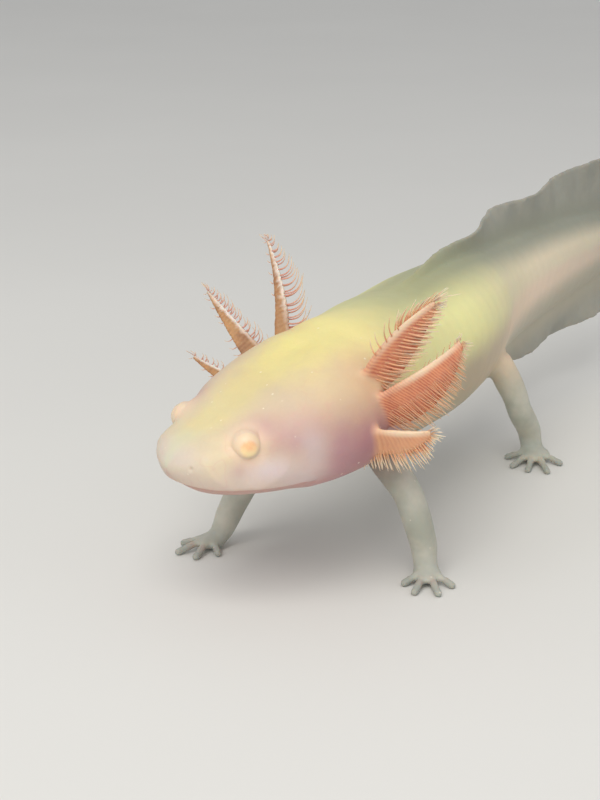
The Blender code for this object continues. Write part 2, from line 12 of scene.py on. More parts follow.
import bpy
import numpy as np
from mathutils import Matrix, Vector


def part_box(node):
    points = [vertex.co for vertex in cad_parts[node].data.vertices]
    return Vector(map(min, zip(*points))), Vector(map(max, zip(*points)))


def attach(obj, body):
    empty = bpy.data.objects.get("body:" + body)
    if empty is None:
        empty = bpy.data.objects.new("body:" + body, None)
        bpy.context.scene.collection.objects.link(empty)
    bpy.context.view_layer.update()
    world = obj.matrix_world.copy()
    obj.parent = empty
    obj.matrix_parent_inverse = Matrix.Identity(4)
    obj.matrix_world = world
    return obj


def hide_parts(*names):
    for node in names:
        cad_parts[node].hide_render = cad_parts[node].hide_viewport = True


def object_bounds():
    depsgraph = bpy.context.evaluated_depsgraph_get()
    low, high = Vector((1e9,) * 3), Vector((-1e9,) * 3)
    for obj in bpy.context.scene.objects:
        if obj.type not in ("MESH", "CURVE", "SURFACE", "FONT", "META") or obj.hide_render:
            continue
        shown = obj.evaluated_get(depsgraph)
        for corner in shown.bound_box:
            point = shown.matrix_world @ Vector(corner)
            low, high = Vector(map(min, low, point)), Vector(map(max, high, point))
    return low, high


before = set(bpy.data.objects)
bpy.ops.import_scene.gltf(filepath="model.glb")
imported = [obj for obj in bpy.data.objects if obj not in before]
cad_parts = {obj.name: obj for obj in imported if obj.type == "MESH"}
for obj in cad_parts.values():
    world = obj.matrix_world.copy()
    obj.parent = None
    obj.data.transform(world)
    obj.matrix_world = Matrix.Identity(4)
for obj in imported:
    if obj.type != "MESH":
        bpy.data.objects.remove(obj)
CAD_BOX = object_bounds()

MM = 0.001
SEED = 7

# -------------------------------------------------------------- driving dimensions, in millimetres

LENGTH = 160.0  # along the spine, snout to tail tip
GILL_STATION = 23.8
GILL_HEIGHT = 23.7  # of the spine over the floor, where the gills grow
SPINE_STEPS = 801

# Knots of the curves that give the body its shape: (station, value)
HEADING = (  # degrees that the tailward direction turns from +X toward +Y
    (0, -29), (18, -29), (24, -21), (29, -3), (33, 6), (38, 7), (48, 3), (62, 1), (78, 0),
    (96, -4), (114, -9), (132, -10), (148, 0), (160, 9),
)
RISE = (  # degrees that the tailward direction climbs
    (0, 12.2), (18, 12.2), (25, 7), (32, -0.8), (45, -1.8), (62, -1.2), (78, 0.8), (96, 2.3),
    (114, 1.4), (132, -3), (160, -9),
)
HALF_WIDTH = (
    (0, 5.4), (2, 6.6), (5, 8.0), (8, 9.3), (11, 10.4), (15, 11.5), (19, 12.0), (22, 11.8),
    (26, 10.3), (30, 9.4), (36, 9.3), (46, 9.8), (58, 9.9), (68, 9.0), (76, 7.6), (83, 5.8),
    (92, 4.4), (106, 3.5), (124, 2.5), (142, 1.5), (160, 0.6),
)
HEIGHT_OVER_SPINE = (
    (0, 2.2), (3, 2.9), (7, 3.8), (11, 5.2), (15, 6.4), (19, 7.4), (23, 8.2), (28, 9.2),
    (36, 9.2), (48, 8.5), (60, 8.8), (72, 8.6), (84, 7.6), (100, 6.6), (120, 5.4), (140, 3.4),
    (160, 0.9),
)
DEPTH_UNDER_SPINE = (
    (0, 2.6), (3, 4.1), (7, 5.8), (12, 7.1), (18, 8.1), (24, 8.8), (29, 9.4), (36, 10.4),
    (48, 11.8), (60, 12.4), (72, 12.2), (79, 11.7), (86, 10.9), (100, 9.6), (120, 7.6), (140, 4.7),
    (160, 0.9),
)
SQUARENESS = ((0, 2.3), (8, 2.5), (15, 2.65), (24, 2.4), (36, 2.1), (80, 2.0), (160, 2.0))
NOSE_ROUND = 5.0
NOSE_ROUND_UP = 3.2

MOUTH_CORNER = 13.4
MOUTH_LEVEL = ((0, 1.8), (4, 3.0), (9, 4.2), (MOUTH_CORNER, 4.7), (18, 4.9))
JAW_START = 0.9
JAW_WIDTH = 0.9
JAW_ROUND = 3.2

EYE_CENTRE = (16.0, 6.8, 2.05)  # in the head's axes: forward of the gills, left, up
EYE_RADIUS = 1.8
EYE_LOOK = (0.41, 0.87, 0.25)  # the way the opening of the skin faces, in the head's axes
IRIS_LOOK = (0.4, 0.92, 0.02)  # the way the iris faces
EYE_BUMP_HEIGHT = 0.75
EYE_BUMP_RADIUS = 2.6
EYE_BUMP_LIFT = 1.0
EYE_BUMP_WAY = (0.8, 0.6)

DORSAL_FIN = (
    (38, 0.0), (48, 0.4), (60, 0.8), (70, 1.7), (78, 2.4), (84, 3.6), (90, 4.8), (98, 5.1),
    (105, 5.4), (111, 6.3), (118, 7.4), (126, 8.9), (132, 9.7), (140, 8.7), (150, 5.6), (157, 2.7),
    (160, 1.3),
)
VENTRAL_FIN = (
    (82, 0.6), (86, 2.0), (94, 3.2), (106, 4.5), (120, 5.6), (130, 6.0), (140, 5.3), (150, 3.9),
    (157, 2.2), (160, 1.1),
)
FIN_ROOT_HALF_THICKNESS = 0.55
FIN_EDGE_HALF_THICKNESS = 0.27
FIN_MOST_SHARE = 0.8  # of the body's half width, that the root's half thickness takes
FIN_WAVE_LENGTH = 24.5
FIN_WAVE_START = 95.7
FIN_WAVE = 0.25  # sway of the edge, as a share of the height
MOST_FIN_WAVE = 0.95

# Gills: root, way to the tip, bow and way that the comb of filaments points, in the head's axes;
# then the length of the short filaments on the other side of the ridge
GILLS = {
    "gill_left_upper": (
        (-0.9, 9.7, 5.0), (-5.7, 8.4, 9.6), (2.1, -0.9, 1.2), (-0.55, 0.35, -0.6), 2.2,
    ),
    "gill_left_middle": (
        (-0.3, 10.0, 2.3), (-8.4, 8.9, 6.6), (0.4, 1.3, -0.7), (-0.35, 0.3, -0.85), 0.9,
    ),
    "gill_left_lower": (
        (1.7, 10.4, -0.2), (-4.5, 7.8, -0.7), (0.6, 0.4, -1.0), (-0.25, 0.1, -0.95), 0.8,
    ),
    "gill_right_upper": (
        (-1.6, -9.0, 4.5), (-4.7, -7.4, 12.0), (-1.3, 1.2, -0.5), (-0.8, 0.45, 0.1), 0.8,
    ),
    "gill_right_middle": (
        (-0.3, -10.4, 1.5), (0.6, -12.7, 8.4), (0.5, -0.6, 1.1), (-0.85, 0.4, 0.0), 1.2,
    ),
    "gill_right_lower": (
        (0.6, -10.2, -1.5), (4.0, -12.6, 3.6), (0.8, 0.4, -0.7), (-0.85, 0.1, 0.1), 0.7,
    ),
}
GILL_ROOT_DEPTH = 2.2

# Legs: joint at the body, elbow or knee, wrist or ankle, palm centre, heading of the foot in
# degrees from -X toward the body. Digits: angle toward the body, reach from the palm's centre
LEGS = {
    "left_fore": ((5.5, -4.6, 16.4), (2.7, -11.2, 10.6), (4.5, -12.6, 2.9), (2.9, -13.5, 1.0), -24),
    "right_fore": ((6.5, 6.6, 16.2), (5.6, 12.6, 10.6), (3.4, 16.0, 2.9), (1.5, 17.0, 1.0), -18),
    "left_hind": (
        (51.5, -4.6, 16.4), (52.3, -7.9, 9.6), (56.6, -8.8, 2.9), (55.0, -10.0, 1.0), -12,
    ),
    "right_hind": (
        (48.5, 7.0, 16.4), (45.6, 13.6, 10.2), (48.8, 16.2, 2.9), (46.8, 17.4, 1.0), -30,
    ),
}
DIGITS = {
    "fore": ((60, 3.9), (21, 5.4), (-14, 5.6), (-54, 4.3)),
    "hind": ((80, 4.6), (30, 5.9), (2, 6.6), (-24, 7.2), (-66, 5.0)),
}
LEG_RADII = {"fore": (2.0, 1.95, 1.8, 1.55), "hind": (2.1, 1.9, 1.85, 1.65)}
PALM_HALF_SIZE = {"fore": (2.1, 2.0, 1.05), "hind": (2.4, 2.5, 1.1)}
DIGIT_ROOT_RADIUS = 0.72
DIGIT_TIP_RADIUS = 0.4
HEEL_SHARE = 0.45


# ---------------------------------------------------------------- curves

def smooth(knots, place):
    """Value at a place on a smooth curve through the knots, which does not overshoot them.

    Each piece is a cubic, whose slope at a knot is the harmonic mean of the chords beside it.
    """
    x, y = np.array(knots, float).T
    step = np.diff(x)
    chord = np.diff(y) / step
    slope = np.zeros_like(y)
    slope[0], slope[-1] = chord[0], chord[-1]
    before, after = chord[:-1], chord[1:]
    agree = before * after > 0
    slope[1:-1][agree] = 2 * before[agree] * after[agree] / (before[agree] + after[agree])
    place = np.clip(np.asarray(place, float), x[0], x[-1])
    i = np.clip(np.searchsorted(x, place, side="right") - 1, 0, len(step) - 1)
    u = (place - x[i]) / step[i]
    return (
        y[i] * (1 + 2 * u) * (1 - u) ** 2
        + y[i + 1] * u * u * (3 - 2 * u)
        + step[i] * u * (1 - u) * (slope[i] * (1 - u) - slope[i + 1] * u)
    )


def unit(v):
    """The vectors, each divided by its length."""
    return v / np.maximum(np.linalg.norm(v, axis=-1, keepdims=True), 1e-12)


def ease(low, high, value):
    """0 below low, 1 above high, and a smooth cubic step between."""
    t = np.clip((np.asarray(value, float) - low) / (high - low), 0, 1)
    return t * t * (3 - 2 * t)


def bell(value, width):
    """Bell curve of a distance: 1 at 0, falling by e at one width."""
    return np.exp(-((np.asarray(value, float) / width) ** 2))


def window(low, full, fade, end, value):
    """Rises from 0 at low to 1 at full, and falls from fade back to 0 at end."""
    return ease(low, full, value) * (1 - ease(fade, end, value))


def rounding(distance, length):
    """Quarter circle from 0 at distance 0 to 1 at the given length."""
    return np.sqrt(1 - (1 - np.clip(distance / length, 0, 1)) ** 2)


def directions(station):
    """Tailward, left and upward unit vectors of the spine at each station."""
    heading = np.radians(smooth(HEADING, station))
    rise = np.radians(smooth(RISE, station))
    tailward = np.stack(
        [np.cos(heading) * np.cos(rise), np.sin(heading) * np.cos(rise), np.sin(rise)], -1
    )
    left = unit(np.cross(tailward, [0.0, 0.0, 1.0]))
    return tailward, left, np.cross(left, tailward)


STATIONS = np.linspace(0, LENGTH, SPINE_STEPS)


def spine_points():
    """The spine: the running sum of its tailward direction, with the gills at X = Y = 0."""
    tailward = directions(STATIONS)[0]
    steps = (tailward[1:] + tailward[:-1]) / 2 * np.diff(STATIONS)[:, None]
    points = np.vstack([np.zeros(3), np.cumsum(steps, axis=0)])
    at_gills = [np.interp(GILL_STATION, STATIONS, points[:, k]) for k in range(3)]
    return points - at_gills + [0, 0, GILL_HEIGHT]


SPINE = spine_points()


def spine(station):
    """Points on the spine."""
    return np.stack([np.interp(station, STATIONS, SPINE[:, k]) for k in range(3)], -1)


def head_point(along, left, up):
    """A point given in the head's own axes, whose origin is the spine at the gills."""
    tailward, to_left, upward = directions(0.0)
    return spine(GILL_STATION) - along * tailward + left * to_left + up * upward


def head_vector(along, left, up):
    """A direction given in the head's own axes."""
    return head_point(along, left, up) - head_point(0, 0, 0)


def eye_centre(side):
    """Centre of the left (side 1) or right (side -1) eyeball."""
    return head_point(EYE_CENTRE[0], side * EYE_CENTRE[1], EYE_CENTRE[2])


EYE_BOX = [np.array(corner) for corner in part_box("eye_left")]
SHIFT = (EYE_BOX[0] + EYE_BOX[1]) / 2 / MM - eye_centre(1)


def in_frame(points):
    """Points of the design, in millimetres, as points of the frame, in metres."""
    return (points + SHIFT) * MM


# ---------------------------------------------------------------- soft forms

BODY_RINGS = 420
BODY_POINTS = 150
FORMS = (  # swellings and hollows of the body: station, degrees above level, their widths, height
    (20.0, -10, 3.4, 18, 0.18),  # cheek
    (21.5, 58, 3.4, 20, 0.15),  # muscles at the back of the skull
    (21.0, 90, 3.5, 13, -0.22),  # groove between them
    (11.0, 90, 4.0, 26, -0.22),  # flat top between the eyes
    (6.5, 42, 3.0, 18, -0.22),  # side of the snout
    (25.4, 64, 1.6, 30, -0.22),  # nape
    (27.2, -70, 0.9, 60, -0.55),  # fold across the throat
    (8.5, -2, 3.4, 14, -0.32),  # hollow under the eye, over the lip
    (34.0, -20, 2.6, 26, 0.15),  # shoulder
    (79.5, -80, 2.6, 26, 0.45),  # vent
)
JAW_STEP = 0.3  # height over which the lip steps in to the lower jaw


def half_width(station):
    """Half the body's width at a station, times a quarter circle that rounds off the snout."""
    return smooth(HALF_WIDTH, station) * rounding(station, NOSE_ROUND)


def height_over(station):
    """Height of the back over the spine, times a quarter circle that rounds off the snout."""
    return smooth(HEIGHT_OVER_SPINE, station) * rounding(station, NOSE_ROUND_UP)


def depth_under(station):
    """Depth of the belly under the spine, times a quarter circle that rounds off the snout."""
    return smooth(DEPTH_UNDER_SPINE, station) * rounding(station, NOSE_ROUND_UP)


def angle_up(across, up):
    """Degrees above level round the body, the same on both sides."""
    return np.degrees(np.arctan2(up, np.abs(across)))


def form_height(station, across, up):
    """Sum of bell curves of the station and of the angle above level."""
    degrees = angle_up(across, up)
    total = np.zeros(np.broadcast(station, degrees).shape)
    for at, angle, along, turn, height in FORMS:
        total += height * bell(station - at, along) * bell(degrees - angle, turn)
    return total


def body_section(station, angle):
    """Left and up offsets: a superellipse, whose lower jaw is narrower and starts later."""
    power = 2 / smooth(SQUARENESS, station)
    cosine, sine = np.cos(angle), np.sin(angle)
    across = half_width(station) * np.sign(cosine) * np.abs(cosine) ** power
    up = np.where(sine >= 0, height_over(station), depth_under(station))
    up = up * np.sign(sine) * np.abs(sine) ** power
    below = -up - smooth(MOUTH_LEVEL, station)
    front = rounding(station - JAW_START, JAW_ROUND)
    narrow = JAW_WIDTH * (0.55 + 0.45 * front)
    in_jaw = ease(0, JAW_STEP, below) * (1 - ease(MOUTH_CORNER - 1.2, MOUTH_CORNER + 1.6, station))
    across = across * (1 - (1 - narrow) * in_jaw)
    up = np.where(below > 0, up + below * (1 - front), up)
    offset = form_height(station, across, up)
    reach = np.maximum(np.hypot(across, up), 1e-6)
    return across * (1 + offset / reach), up * (1 + offset / reach)


def raise_eye_bumps(points):
    """Skin round each eye swells up by a bell curve of its distance to the eye."""
    lifted = points.copy()
    for side in (1, -1):
        away = unit(head_vector(0.0, side * EYE_BUMP_WAY[0], EYE_BUMP_WAY[1]))
        apart = np.linalg.norm(points - eye_centre(side) - away * EYE_BUMP_LIFT, axis=-1)
        lifted += (EYE_BUMP_HEIGHT * bell(apart, EYE_BUMP_RADIUS))[..., None] * away
    return lifted


def place(station, across, up):
    """World points of left and up offsets at stations, for arrays of any shape."""
    _, left, upward = directions(station)
    return spine(station) + across[..., None] * left + up[..., None] * upward


def body_rings():
    """The body without its limbs: superellipses round the spine, closer together at the snout."""
    run = np.linspace(0, 1, BODY_RINGS)
    station = 0.02 + (LENGTH - 0.1) * run**1.6
    angle = np.linspace(0, 2 * np.pi, BODY_POINTS, endpoint=False)
    station, angle = np.broadcast_arrays(station[:, None], angle[None, :])
    return raise_eye_bumps(place(station, *body_section(station, angle)))


BLADE_ROWS = 14  # of points on each side of a blade
BLADE_CAP = np.radians([30, 60, 90, 120, 150])  # places of the points round its edge


def blade_rings(foot, out, flat, height, root_half, edge_half, sway, inside):
    """A thin blade whose edge is round. Each ring runs up one side of it and down the other.

    A ring's point lies at foot + out * height * u + flat * (sway * u * u +/- half thickness), where
    u goes from -inside / height at the buried foot to 1 at the edge.
    """
    rows, cap = np.linspace(0, 1, BLADE_ROWS), BLADE_CAP
    flank = inside[:, None] * -(1 - rows) + (height - edge_half)[:, None] * rows
    share = np.clip(flank / np.maximum(height, 1e-6)[:, None], 0, 1)
    half = root_half[:, None] + (edge_half - root_half)[:, None] * share
    edge = (height - edge_half)[:, None] + edge_half[:, None] * np.sin(cap)
    along = np.concatenate([flank, edge, flank[:, ::-1]], axis=1)
    across = np.concatenate([half, edge_half[:, None] * np.cos(cap), -half[:, ::-1]], axis=1)
    lean = sway[:, None] * np.clip(along / np.maximum(height, 1e-6)[:, None], 0, 1) ** 2
    return (
        foot[:, None]
        + along[..., None] * out[:, None]
        + (across + lean)[..., None] * flat[:, None]
    )


FIN_RIPPLES = ((0.1, 5.7), (0.07, 3.9))  # height and wave length of the ripples of its edge
FIN_CLEAR = 0.7  # height that the solids' gaps add to each fin
FIN_RUNS = {"dorsal": (DORSAL_FIN, 1, 40.0, 64.0), "ventral": (VENTRAL_FIN, -1, 82.5, 88.0)}


def fin_height(knots, station, start, full):
    """Height of a fin over the body: nothing at its start, and rounded off at the tail's tip."""
    height = (smooth(knots, station) + FIN_CLEAR) * ease(start, full, station)
    return height * rounding(LENGTH - 0.3 - station, 6.0)


def fin_sway(height, station):
    """How far the fin's edge sways to the left, in waves along the body."""
    turn = 2 * np.pi * (station - FIN_WAVE_START) / FIN_WAVE_LENGTH
    ripple = sum(size * np.sin(2 * np.pi * station / step) for size, step in FIN_RIPPLES)
    return np.minimum(FIN_WAVE * height, MOST_FIN_WAVE) * np.sin(turn) + ripple * ease(2, 5, height)


def fin_rings(knots, sense, start, full):
    """One fin, on the back or under the tail."""
    station = np.linspace(start, LENGTH - 0.4, 300)
    height = fin_height(knots, station, start, full)
    body = height_over(station) if sense > 0 else depth_under(station)
    _, left, upward = directions(station)
    foot = spine(station) + (sense * body)[:, None] * upward
    root = np.minimum(FIN_ROOT_HALF_THICKNESS, FIN_MOST_SHARE * half_width(station))
    edge = np.minimum(FIN_EDGE_HALF_THICKNESS, root) * (0.4 + 0.6 * ease(0, 1.5, height))
    return blade_rings(
        foot, sense * upward, left, height, root, edge, fin_sway(height, station), 0.5 * body
    )


def tube_rings(path, tangent, radius, sides=20, round_tip=0.0):
    """Round rings square to a path's tangents. The last close to a dome of round_tip length."""
    side = unit(np.cross(tangent, [0.0, 0.0, 1.0]) + [0, 1e-6, 0])
    over = np.cross(side, tangent)
    angle = np.linspace(0, 2 * np.pi, sides, endpoint=False)[None, :, None]
    if round_tip:
        run = np.concatenate([[0], np.cumsum(np.linalg.norm(np.diff(path, axis=0), axis=1))])
        radius = radius * np.maximum(rounding(run[-1] - run, round_tip), 0.02)
    ring = np.cos(angle) * side[:, None] + np.sin(angle) * over[:, None]
    return path[:, None] + np.broadcast_to(radius, len(path))[:, None, None] * ring


def pair(name):
    """Whether a leg is a fore or a hind one, from its name."""
    return name.split("_")[1]


def leg_runs(joints):
    """Shares of the leg's length at its joints."""
    lengths = np.linalg.norm(np.diff(joints, axis=0), axis=1)
    return np.concatenate([[0], np.cumsum(lengths)]) / lengths.sum()


def leg_joints(name):
    """Joint, elbow, wrist and heel of a leg. The heel lies between below the wrist and the palm."""
    joint, elbow, wrist, palm, _ = LEGS[name]
    wrist, palm = np.array(wrist), np.array(palm)
    heel = wrist * (1 - HEEL_SHARE) + palm * HEEL_SHARE
    heel[2] = palm[2]
    return np.array([joint, elbow, wrist, heel], float)


def leg_path(name, share):
    """Points on the rounded path through a leg's joints."""
    joints = leg_joints(name)
    run = leg_runs(joints)
    return np.stack([smooth(list(zip(run, joints[:, k])), share) for k in range(3)], -1)


ANKLE_SHARE = 0.82
MUSCLE = ((0.0, 1.0), (0.22, 1.04), (0.45, 0.98), (0.6, 1.0), (0.8, 0.95), (1.0, 1.0))


def leg_radius(name, share):
    """Radius of a leg, which swells at its two muscles and is slimmer at elbow and wrist."""
    radii = zip(leg_runs(leg_joints(name)), LEG_RADII[pair(name)])
    return smooth(list(radii), share) * smooth(MUSCLE, share)


def leg_rings(name):
    """A leg as a tube, whose last rings blend into a level circle round the heel."""
    share = np.linspace(0, ANKLE_SHARE, 60)
    tangent = unit(leg_path(name, share + 0.01) - leg_path(name, share - 0.01))
    rings = tube_rings(leg_path(name, share), tangent, leg_radius(name, share))
    top = rings[-1]
    heel = leg_joints(name)[-1]
    level = unit((top - top.mean(axis=0)) * [1, 1, 0]) * leg_radius(name, 1.0)
    blend = np.linspace(0, 1, 14)[1:, None, None]
    return np.concatenate([rings, top + (heel + level - top) * blend])


def foot_axes(name):
    """Palm centre, the angle the foot faces, and the turn that is toward the body."""
    joint, _, _, palm, facing = LEGS[name]
    toward_body = 1 if joint[1] < 0 else -1
    return np.array(palm), math.radians(facing) * toward_body, toward_body


def palm_rings(name):
    """A flat oval palm: ellipses whose size follows a half circle from wrist to digits."""
    along, across, up = PALM_HALF_SIZE[pair(name)]
    palm, facing, _ = foot_axes(name)
    ahead = np.array([-math.cos(facing), math.sin(facing), 0.0])
    aside = np.array([-ahead[1], ahead[0], 0.0])
    share = np.sin(np.radians(np.linspace(-88, 88, 24)))[:, None, None]
    angle = np.linspace(0, 2 * np.pi, 40, endpoint=False)[None, :, None]
    oval = across * np.cos(angle) * aside + up * np.sin(angle) * np.array([0, 0, 1.0])
    return palm + share * along * ahead + np.sqrt(1 - share**2) * oval


def digit_path(name, fan, length):
    """A digit's points: it leaves the palm, arches a little and meets the floor at its tip."""
    along = PALM_HALF_SIZE[pair(name)][0]
    palm, facing, toward_body = foot_axes(name)
    turned = facing + toward_body * math.radians(fan)
    out = np.array([-math.cos(turned), math.sin(turned), 0.0])
    step = np.linspace(0, 1, 26)
    path = palm + out * (along * 0.3 + (length - along * 0.3) * step[:, None])
    path[:, 2] += 0.7 * np.sin(np.pi * step) * (1 - step) - 0.2 - 0.45 * step
    return path, step


def digit_rings(name):
    """The digits of one foot: slim tubes with a soft swelling before the round tip."""
    for fan, length in DIGITS[pair(name)]:
        path, step = digit_path(name, fan, length)
        radius = DIGIT_ROOT_RADIUS + (DIGIT_TIP_RADIUS - DIGIT_ROOT_RADIUS) * step
        radius = radius * (1 + 0.1 * bell(step - 0.88, 0.1) - 0.08 * bell(step - 0.6, 0.12))
        yield tube_rings(path, unit(np.gradient(path, axis=0)), radius, 12, 0.4)


# ---------------------------------------------------------------- gill stalks

# Width of the fleshy blade beside each gill's ridge, and how far out its filaments reach, both by
# share of the stalk
BLADE_WIDTHS = {
    "gill_left_upper": ((0.0, 3.3), (0.1, 3.5), (0.3, 3.9), (0.5, 3.6), (0.75, 2.5), (1.0, 0.5)),
    "gill_left_middle": ((0.0, 4.2), (0.1, 4.5), (0.3, 4.9), (0.5, 4.5), (0.75, 2.9), (1.0, 0.5)),
    "gill_left_lower": ((0.0, 4.8), (0.15, 4.8), (0.4, 3.8), (0.6, 3.1), (0.8, 2.0), (1.0, 0.5)),
    "gill_right_upper": (
        (0.0, 2.3), (0.12, 2.1), (0.35, 1.5), (0.6, 1.0), (0.85, 0.45), (1.0, 0.15),
    ),
    "gill_right_middle": (
        (0.0, 3.1), (0.12, 2.9), (0.35, 2.2), (0.6, 1.4), (0.85, 0.6), (1.0, 0.15),
    ),
    "gill_right_lower": ((0.0, 3.0), (0.15, 2.9), (0.4, 2.2), (0.7, 1.2), (1.0, 0.3)),
}
FRINGE_REACHES = {
    "gill_left_upper": (
        (0.0, 4.2), (0.1, 4.4), (0.3, 5.0), (0.45, 4.7), (0.65, 3.6), (0.85, 2.2), (1.0, 0.9),
    ),
    "gill_left_middle": (
        (0.0, 5.2), (0.1, 5.6), (0.3, 6.3), (0.5, 5.8), (0.7, 4.5), (0.85, 2.9), (1.0, 1.0),
    ),
    "gill_left_lower": (
        (0.0, 6.0), (0.15, 6.2), (0.4, 5.8), (0.6, 5.2), (0.8, 3.6), (0.92, 1.8), (1.0, 0.9),
    ),
    "gill_right_upper": (
        (0.0, 4.0), (0.1, 4.6), (0.35, 4.9), (0.55, 4.3), (0.7, 3.2), (0.85, 2.0), (1.0, 1.1),
    ),
    "gill_right_middle": ((0.0, 3.0), (0.15, 2.9), (0.4, 2.6), (0.7, 2.2), (0.9, 1.5), (1.0, 0.9)),
    "gill_right_lower": ((0.0, 2.0), (0.4, 2.0), (0.8, 1.5), (1.0, 0.8)),
}
# How far the filaments lean toward the tip, in degrees, how that grows along the stalk, their curl
LEANS = {
    "gill_left_upper": (20, 42, 0.34), "gill_left_middle": (14, -30, 0.10),
    "gill_left_lower": (10, 50, 0.10), "gill_right_upper": (-14, 0, 0.75),
    "gill_right_middle": (-6, 0, 0.7), "gill_right_lower": (0, 0, 0.6),
}
RIB_STEPS = {"gill_left_upper": 0.48, "gill_left_middle": 0.33, "gill_left_lower": 0.4}
RIB_STEP = 0.5  # on the other gills


def blade_side(name):
    """1 where a gill's blade lies on its comb's side, -1 where it lies behind it."""
    return 1 if "left" in name else -1


def bezier(points, t):
    """Points and unit tangents of a quadratic Bezier curve."""
    a, b, c = (np.asarray(p, float) for p in points)
    t = np.asarray(t)[:, None]
    where = a * (1 - t) ** 2 + b * 2 * t * (1 - t) + c * t**2
    return where, unit(2 * (1 - t) * (b - a) + 2 * t * (c - b))


def gill_line(name, t):
    """Points, tangents, comb directions and flat directions along a gill's stalk."""
    root, reach, bow, comb, _ = GILLS[name]
    start, way = head_point(*root), head_vector(*reach)
    inside = start - unit(way) * GILL_ROOT_DEPTH
    centre, tangent = bezier((inside, start + way / 2 + head_vector(*bow), start + way), t)
    comb = unit(head_vector(*comb))
    out = unit(comb - tangent * (tangent @ comb)[:, None])
    return centre, tangent, out, np.cross(tangent, out)


def gill_radius(t):
    """Radius of the ridge, which flares where it leaves the head."""
    return 0.26 * (1 - t) ** 0.7 + 0.15 + 0.35 * bell(t, 0.2)


def blade_half(t, share):
    """Half the blade's thickness at shares of the stalk and of the blade's width."""
    return (0.18 + 0.26 * (1 - t)) * (1 - share) + 0.18 * share


def stalk_rings(name):
    """A gill's ridge: circles square to its curve, which taper toward the tip."""
    t = np.linspace(0, 1, 70)
    centre, tangent, out, flat = gill_line(name, t)
    angle = np.linspace(0, 2 * np.pi, 20, endpoint=False)[None, :, None]
    radius = gill_radius(t) * np.maximum(rounding(1 - t, 0.05), 0.05)
    ring = np.cos(angle) * out[:, None] + np.sin(angle) * flat[:, None]
    return centre[:, None] + radius[:, None, None] * ring


def web_rings(name):
    """The blade beside the ridge, as high as its width and thinner toward its edge."""
    t = np.linspace(0.02, 0.975, 64)
    centre, _, out, flat = gill_line(name, t)
    side = blade_side(name)
    root, edge, inside = blade_half(t, 0.0), blade_half(t, 1.0), np.full(len(t), 0.2)
    height = smooth(BLADE_WIDTHS[name], t)
    return blade_rings(
        centre, side * out, side * flat, height, root, edge, np.zeros(len(t)), inside
    )


# ---------------------------------------------------------------- one skin

VOXEL = 0.22


def closed_faces(rings, points):
    """Faces of a closed loft over rings: quads between rings and one many-sided cap per end."""
    near = np.arange(rings - 1)[:, None] * points + np.arange(points)[None, :]
    after = np.arange(rings - 1)[:, None] * points + (np.arange(points)[None, :] + 1) % points
    quads = np.stack([near, after, after + points, near + points], -1).reshape(-1, 4)
    first = np.arange(points)[::-1]
    last = (rings - 1) * points + np.arange(points)
    return quads, (first, last)


def new_object(name, data):
    """A new object in the scene, at the origin."""
    made = bpy.data.objects.new(name, data)
    bpy.context.scene.collection.objects.link(made)
    return made


def mesh_of(name, shapes):
    """One mesh of closed lofts, each given as an array of rings."""
    points, faces, start = [], [], 0
    for rings in shapes:
        count, sides = rings.shape[:2]
        quads, caps = closed_faces(count, sides)
        points.append(rings.reshape(-1, 3))
        faces += (quads + start).tolist() + [(cap + start).tolist() for cap in caps]
        start += count * sides
    data = bpy.data.meshes.new(name)
    data.from_pydata(np.concatenate(points), [], faces)
    data.update()
    return data


def read(items, key, width, kind=float):
    """One row of numbers for each item of a mesh, such as each vertex or edge."""
    values = np.empty(len(items) * width, kind)
    items.foreach_get(key, values)
    return values.reshape(-1, width)


def point_array(data):
    """Places of a mesh's vertices, a row each."""
    return read(data.vertices, "co", 3)


def set_points(data, points):
    """Moves a mesh's vertices to new places."""
    data.vertices.foreach_set("co", points.ravel())
    data.update()


def evaluated(obj):
    """The object's mesh with its modifiers applied, as the object's own mesh."""
    graph = bpy.context.evaluated_depsgraph_get()
    made = bpy.data.meshes.new_from_object(obj.evaluated_get(graph))
    obj.modifiers.clear()
    obj.data = made
    return made


def relax(points, edges, weight, rounds):
    """Moves each point toward the mean of its neighbours by its weight, several times over."""
    ends = np.concatenate([edges, edges[:, ::-1]])
    count = np.maximum(np.bincount(ends[:, 0], minlength=len(points)), 1)
    for _ in range(rounds):
        mean = np.stack(
            [np.bincount(ends[:, 0], points[ends[:, 1], k], len(points)) / count for k in range(3)],
            -1,
        )
        points = points + weight[:, None] * (mean - points)
    return points


# ---------------------------------------------------------------- where a point lies on the animal

CHUNK = 20000  # points measured at once
GILL_SAMPLES = 240
FAR = 99.0  # distance given to points that are nowhere near


def nearest(points, line):
    """Distance from each point to the nearest sample of a line, and that sample's number."""
    apart, which = np.empty(len(points)), np.empty(len(points), np.int64)
    for start in range(0, len(points), CHUNK):
        some = points[start:start + CHUNK]
        squares = (some**2).sum(1)[:, None] - 2 * some @ line.T + (line**2).sum(1)[None, :]
        best = squares.argmin(axis=1)
        which[start:start + CHUNK] = best
        apart[start:start + CHUNK] = np.sqrt(np.maximum(squares[np.arange(len(some)), best], 0))
    return apart, which


def body_place(points):
    """Station, left and up offset of each point, and its distance outside the body's outline."""
    samples = STATIONS[::4]
    _, which = nearest(points, spine(samples))
    station = samples[which]
    for _ in range(2):
        tailward, left, upward = directions(station)
        apart = points - spine(station)
        station = np.clip(station + (apart * tailward).sum(1), 0, LENGTH)
    across, up = (apart * left).sum(1), (apart * upward).sum(1)
    power = smooth(SQUARENESS, station)
    tall = np.where(up >= 0, height_over(station), depth_under(station))
    wide = np.maximum(half_width(station), 0.3)
    tall = np.maximum(tall, 0.3)
    share = (np.abs(across / wide) ** power + np.abs(up / tall) ** power) ** (1 / power)
    reach = np.hypot(across, up)
    return station, across, up, reach * (1 - 1 / np.maximum(share, 0.05))


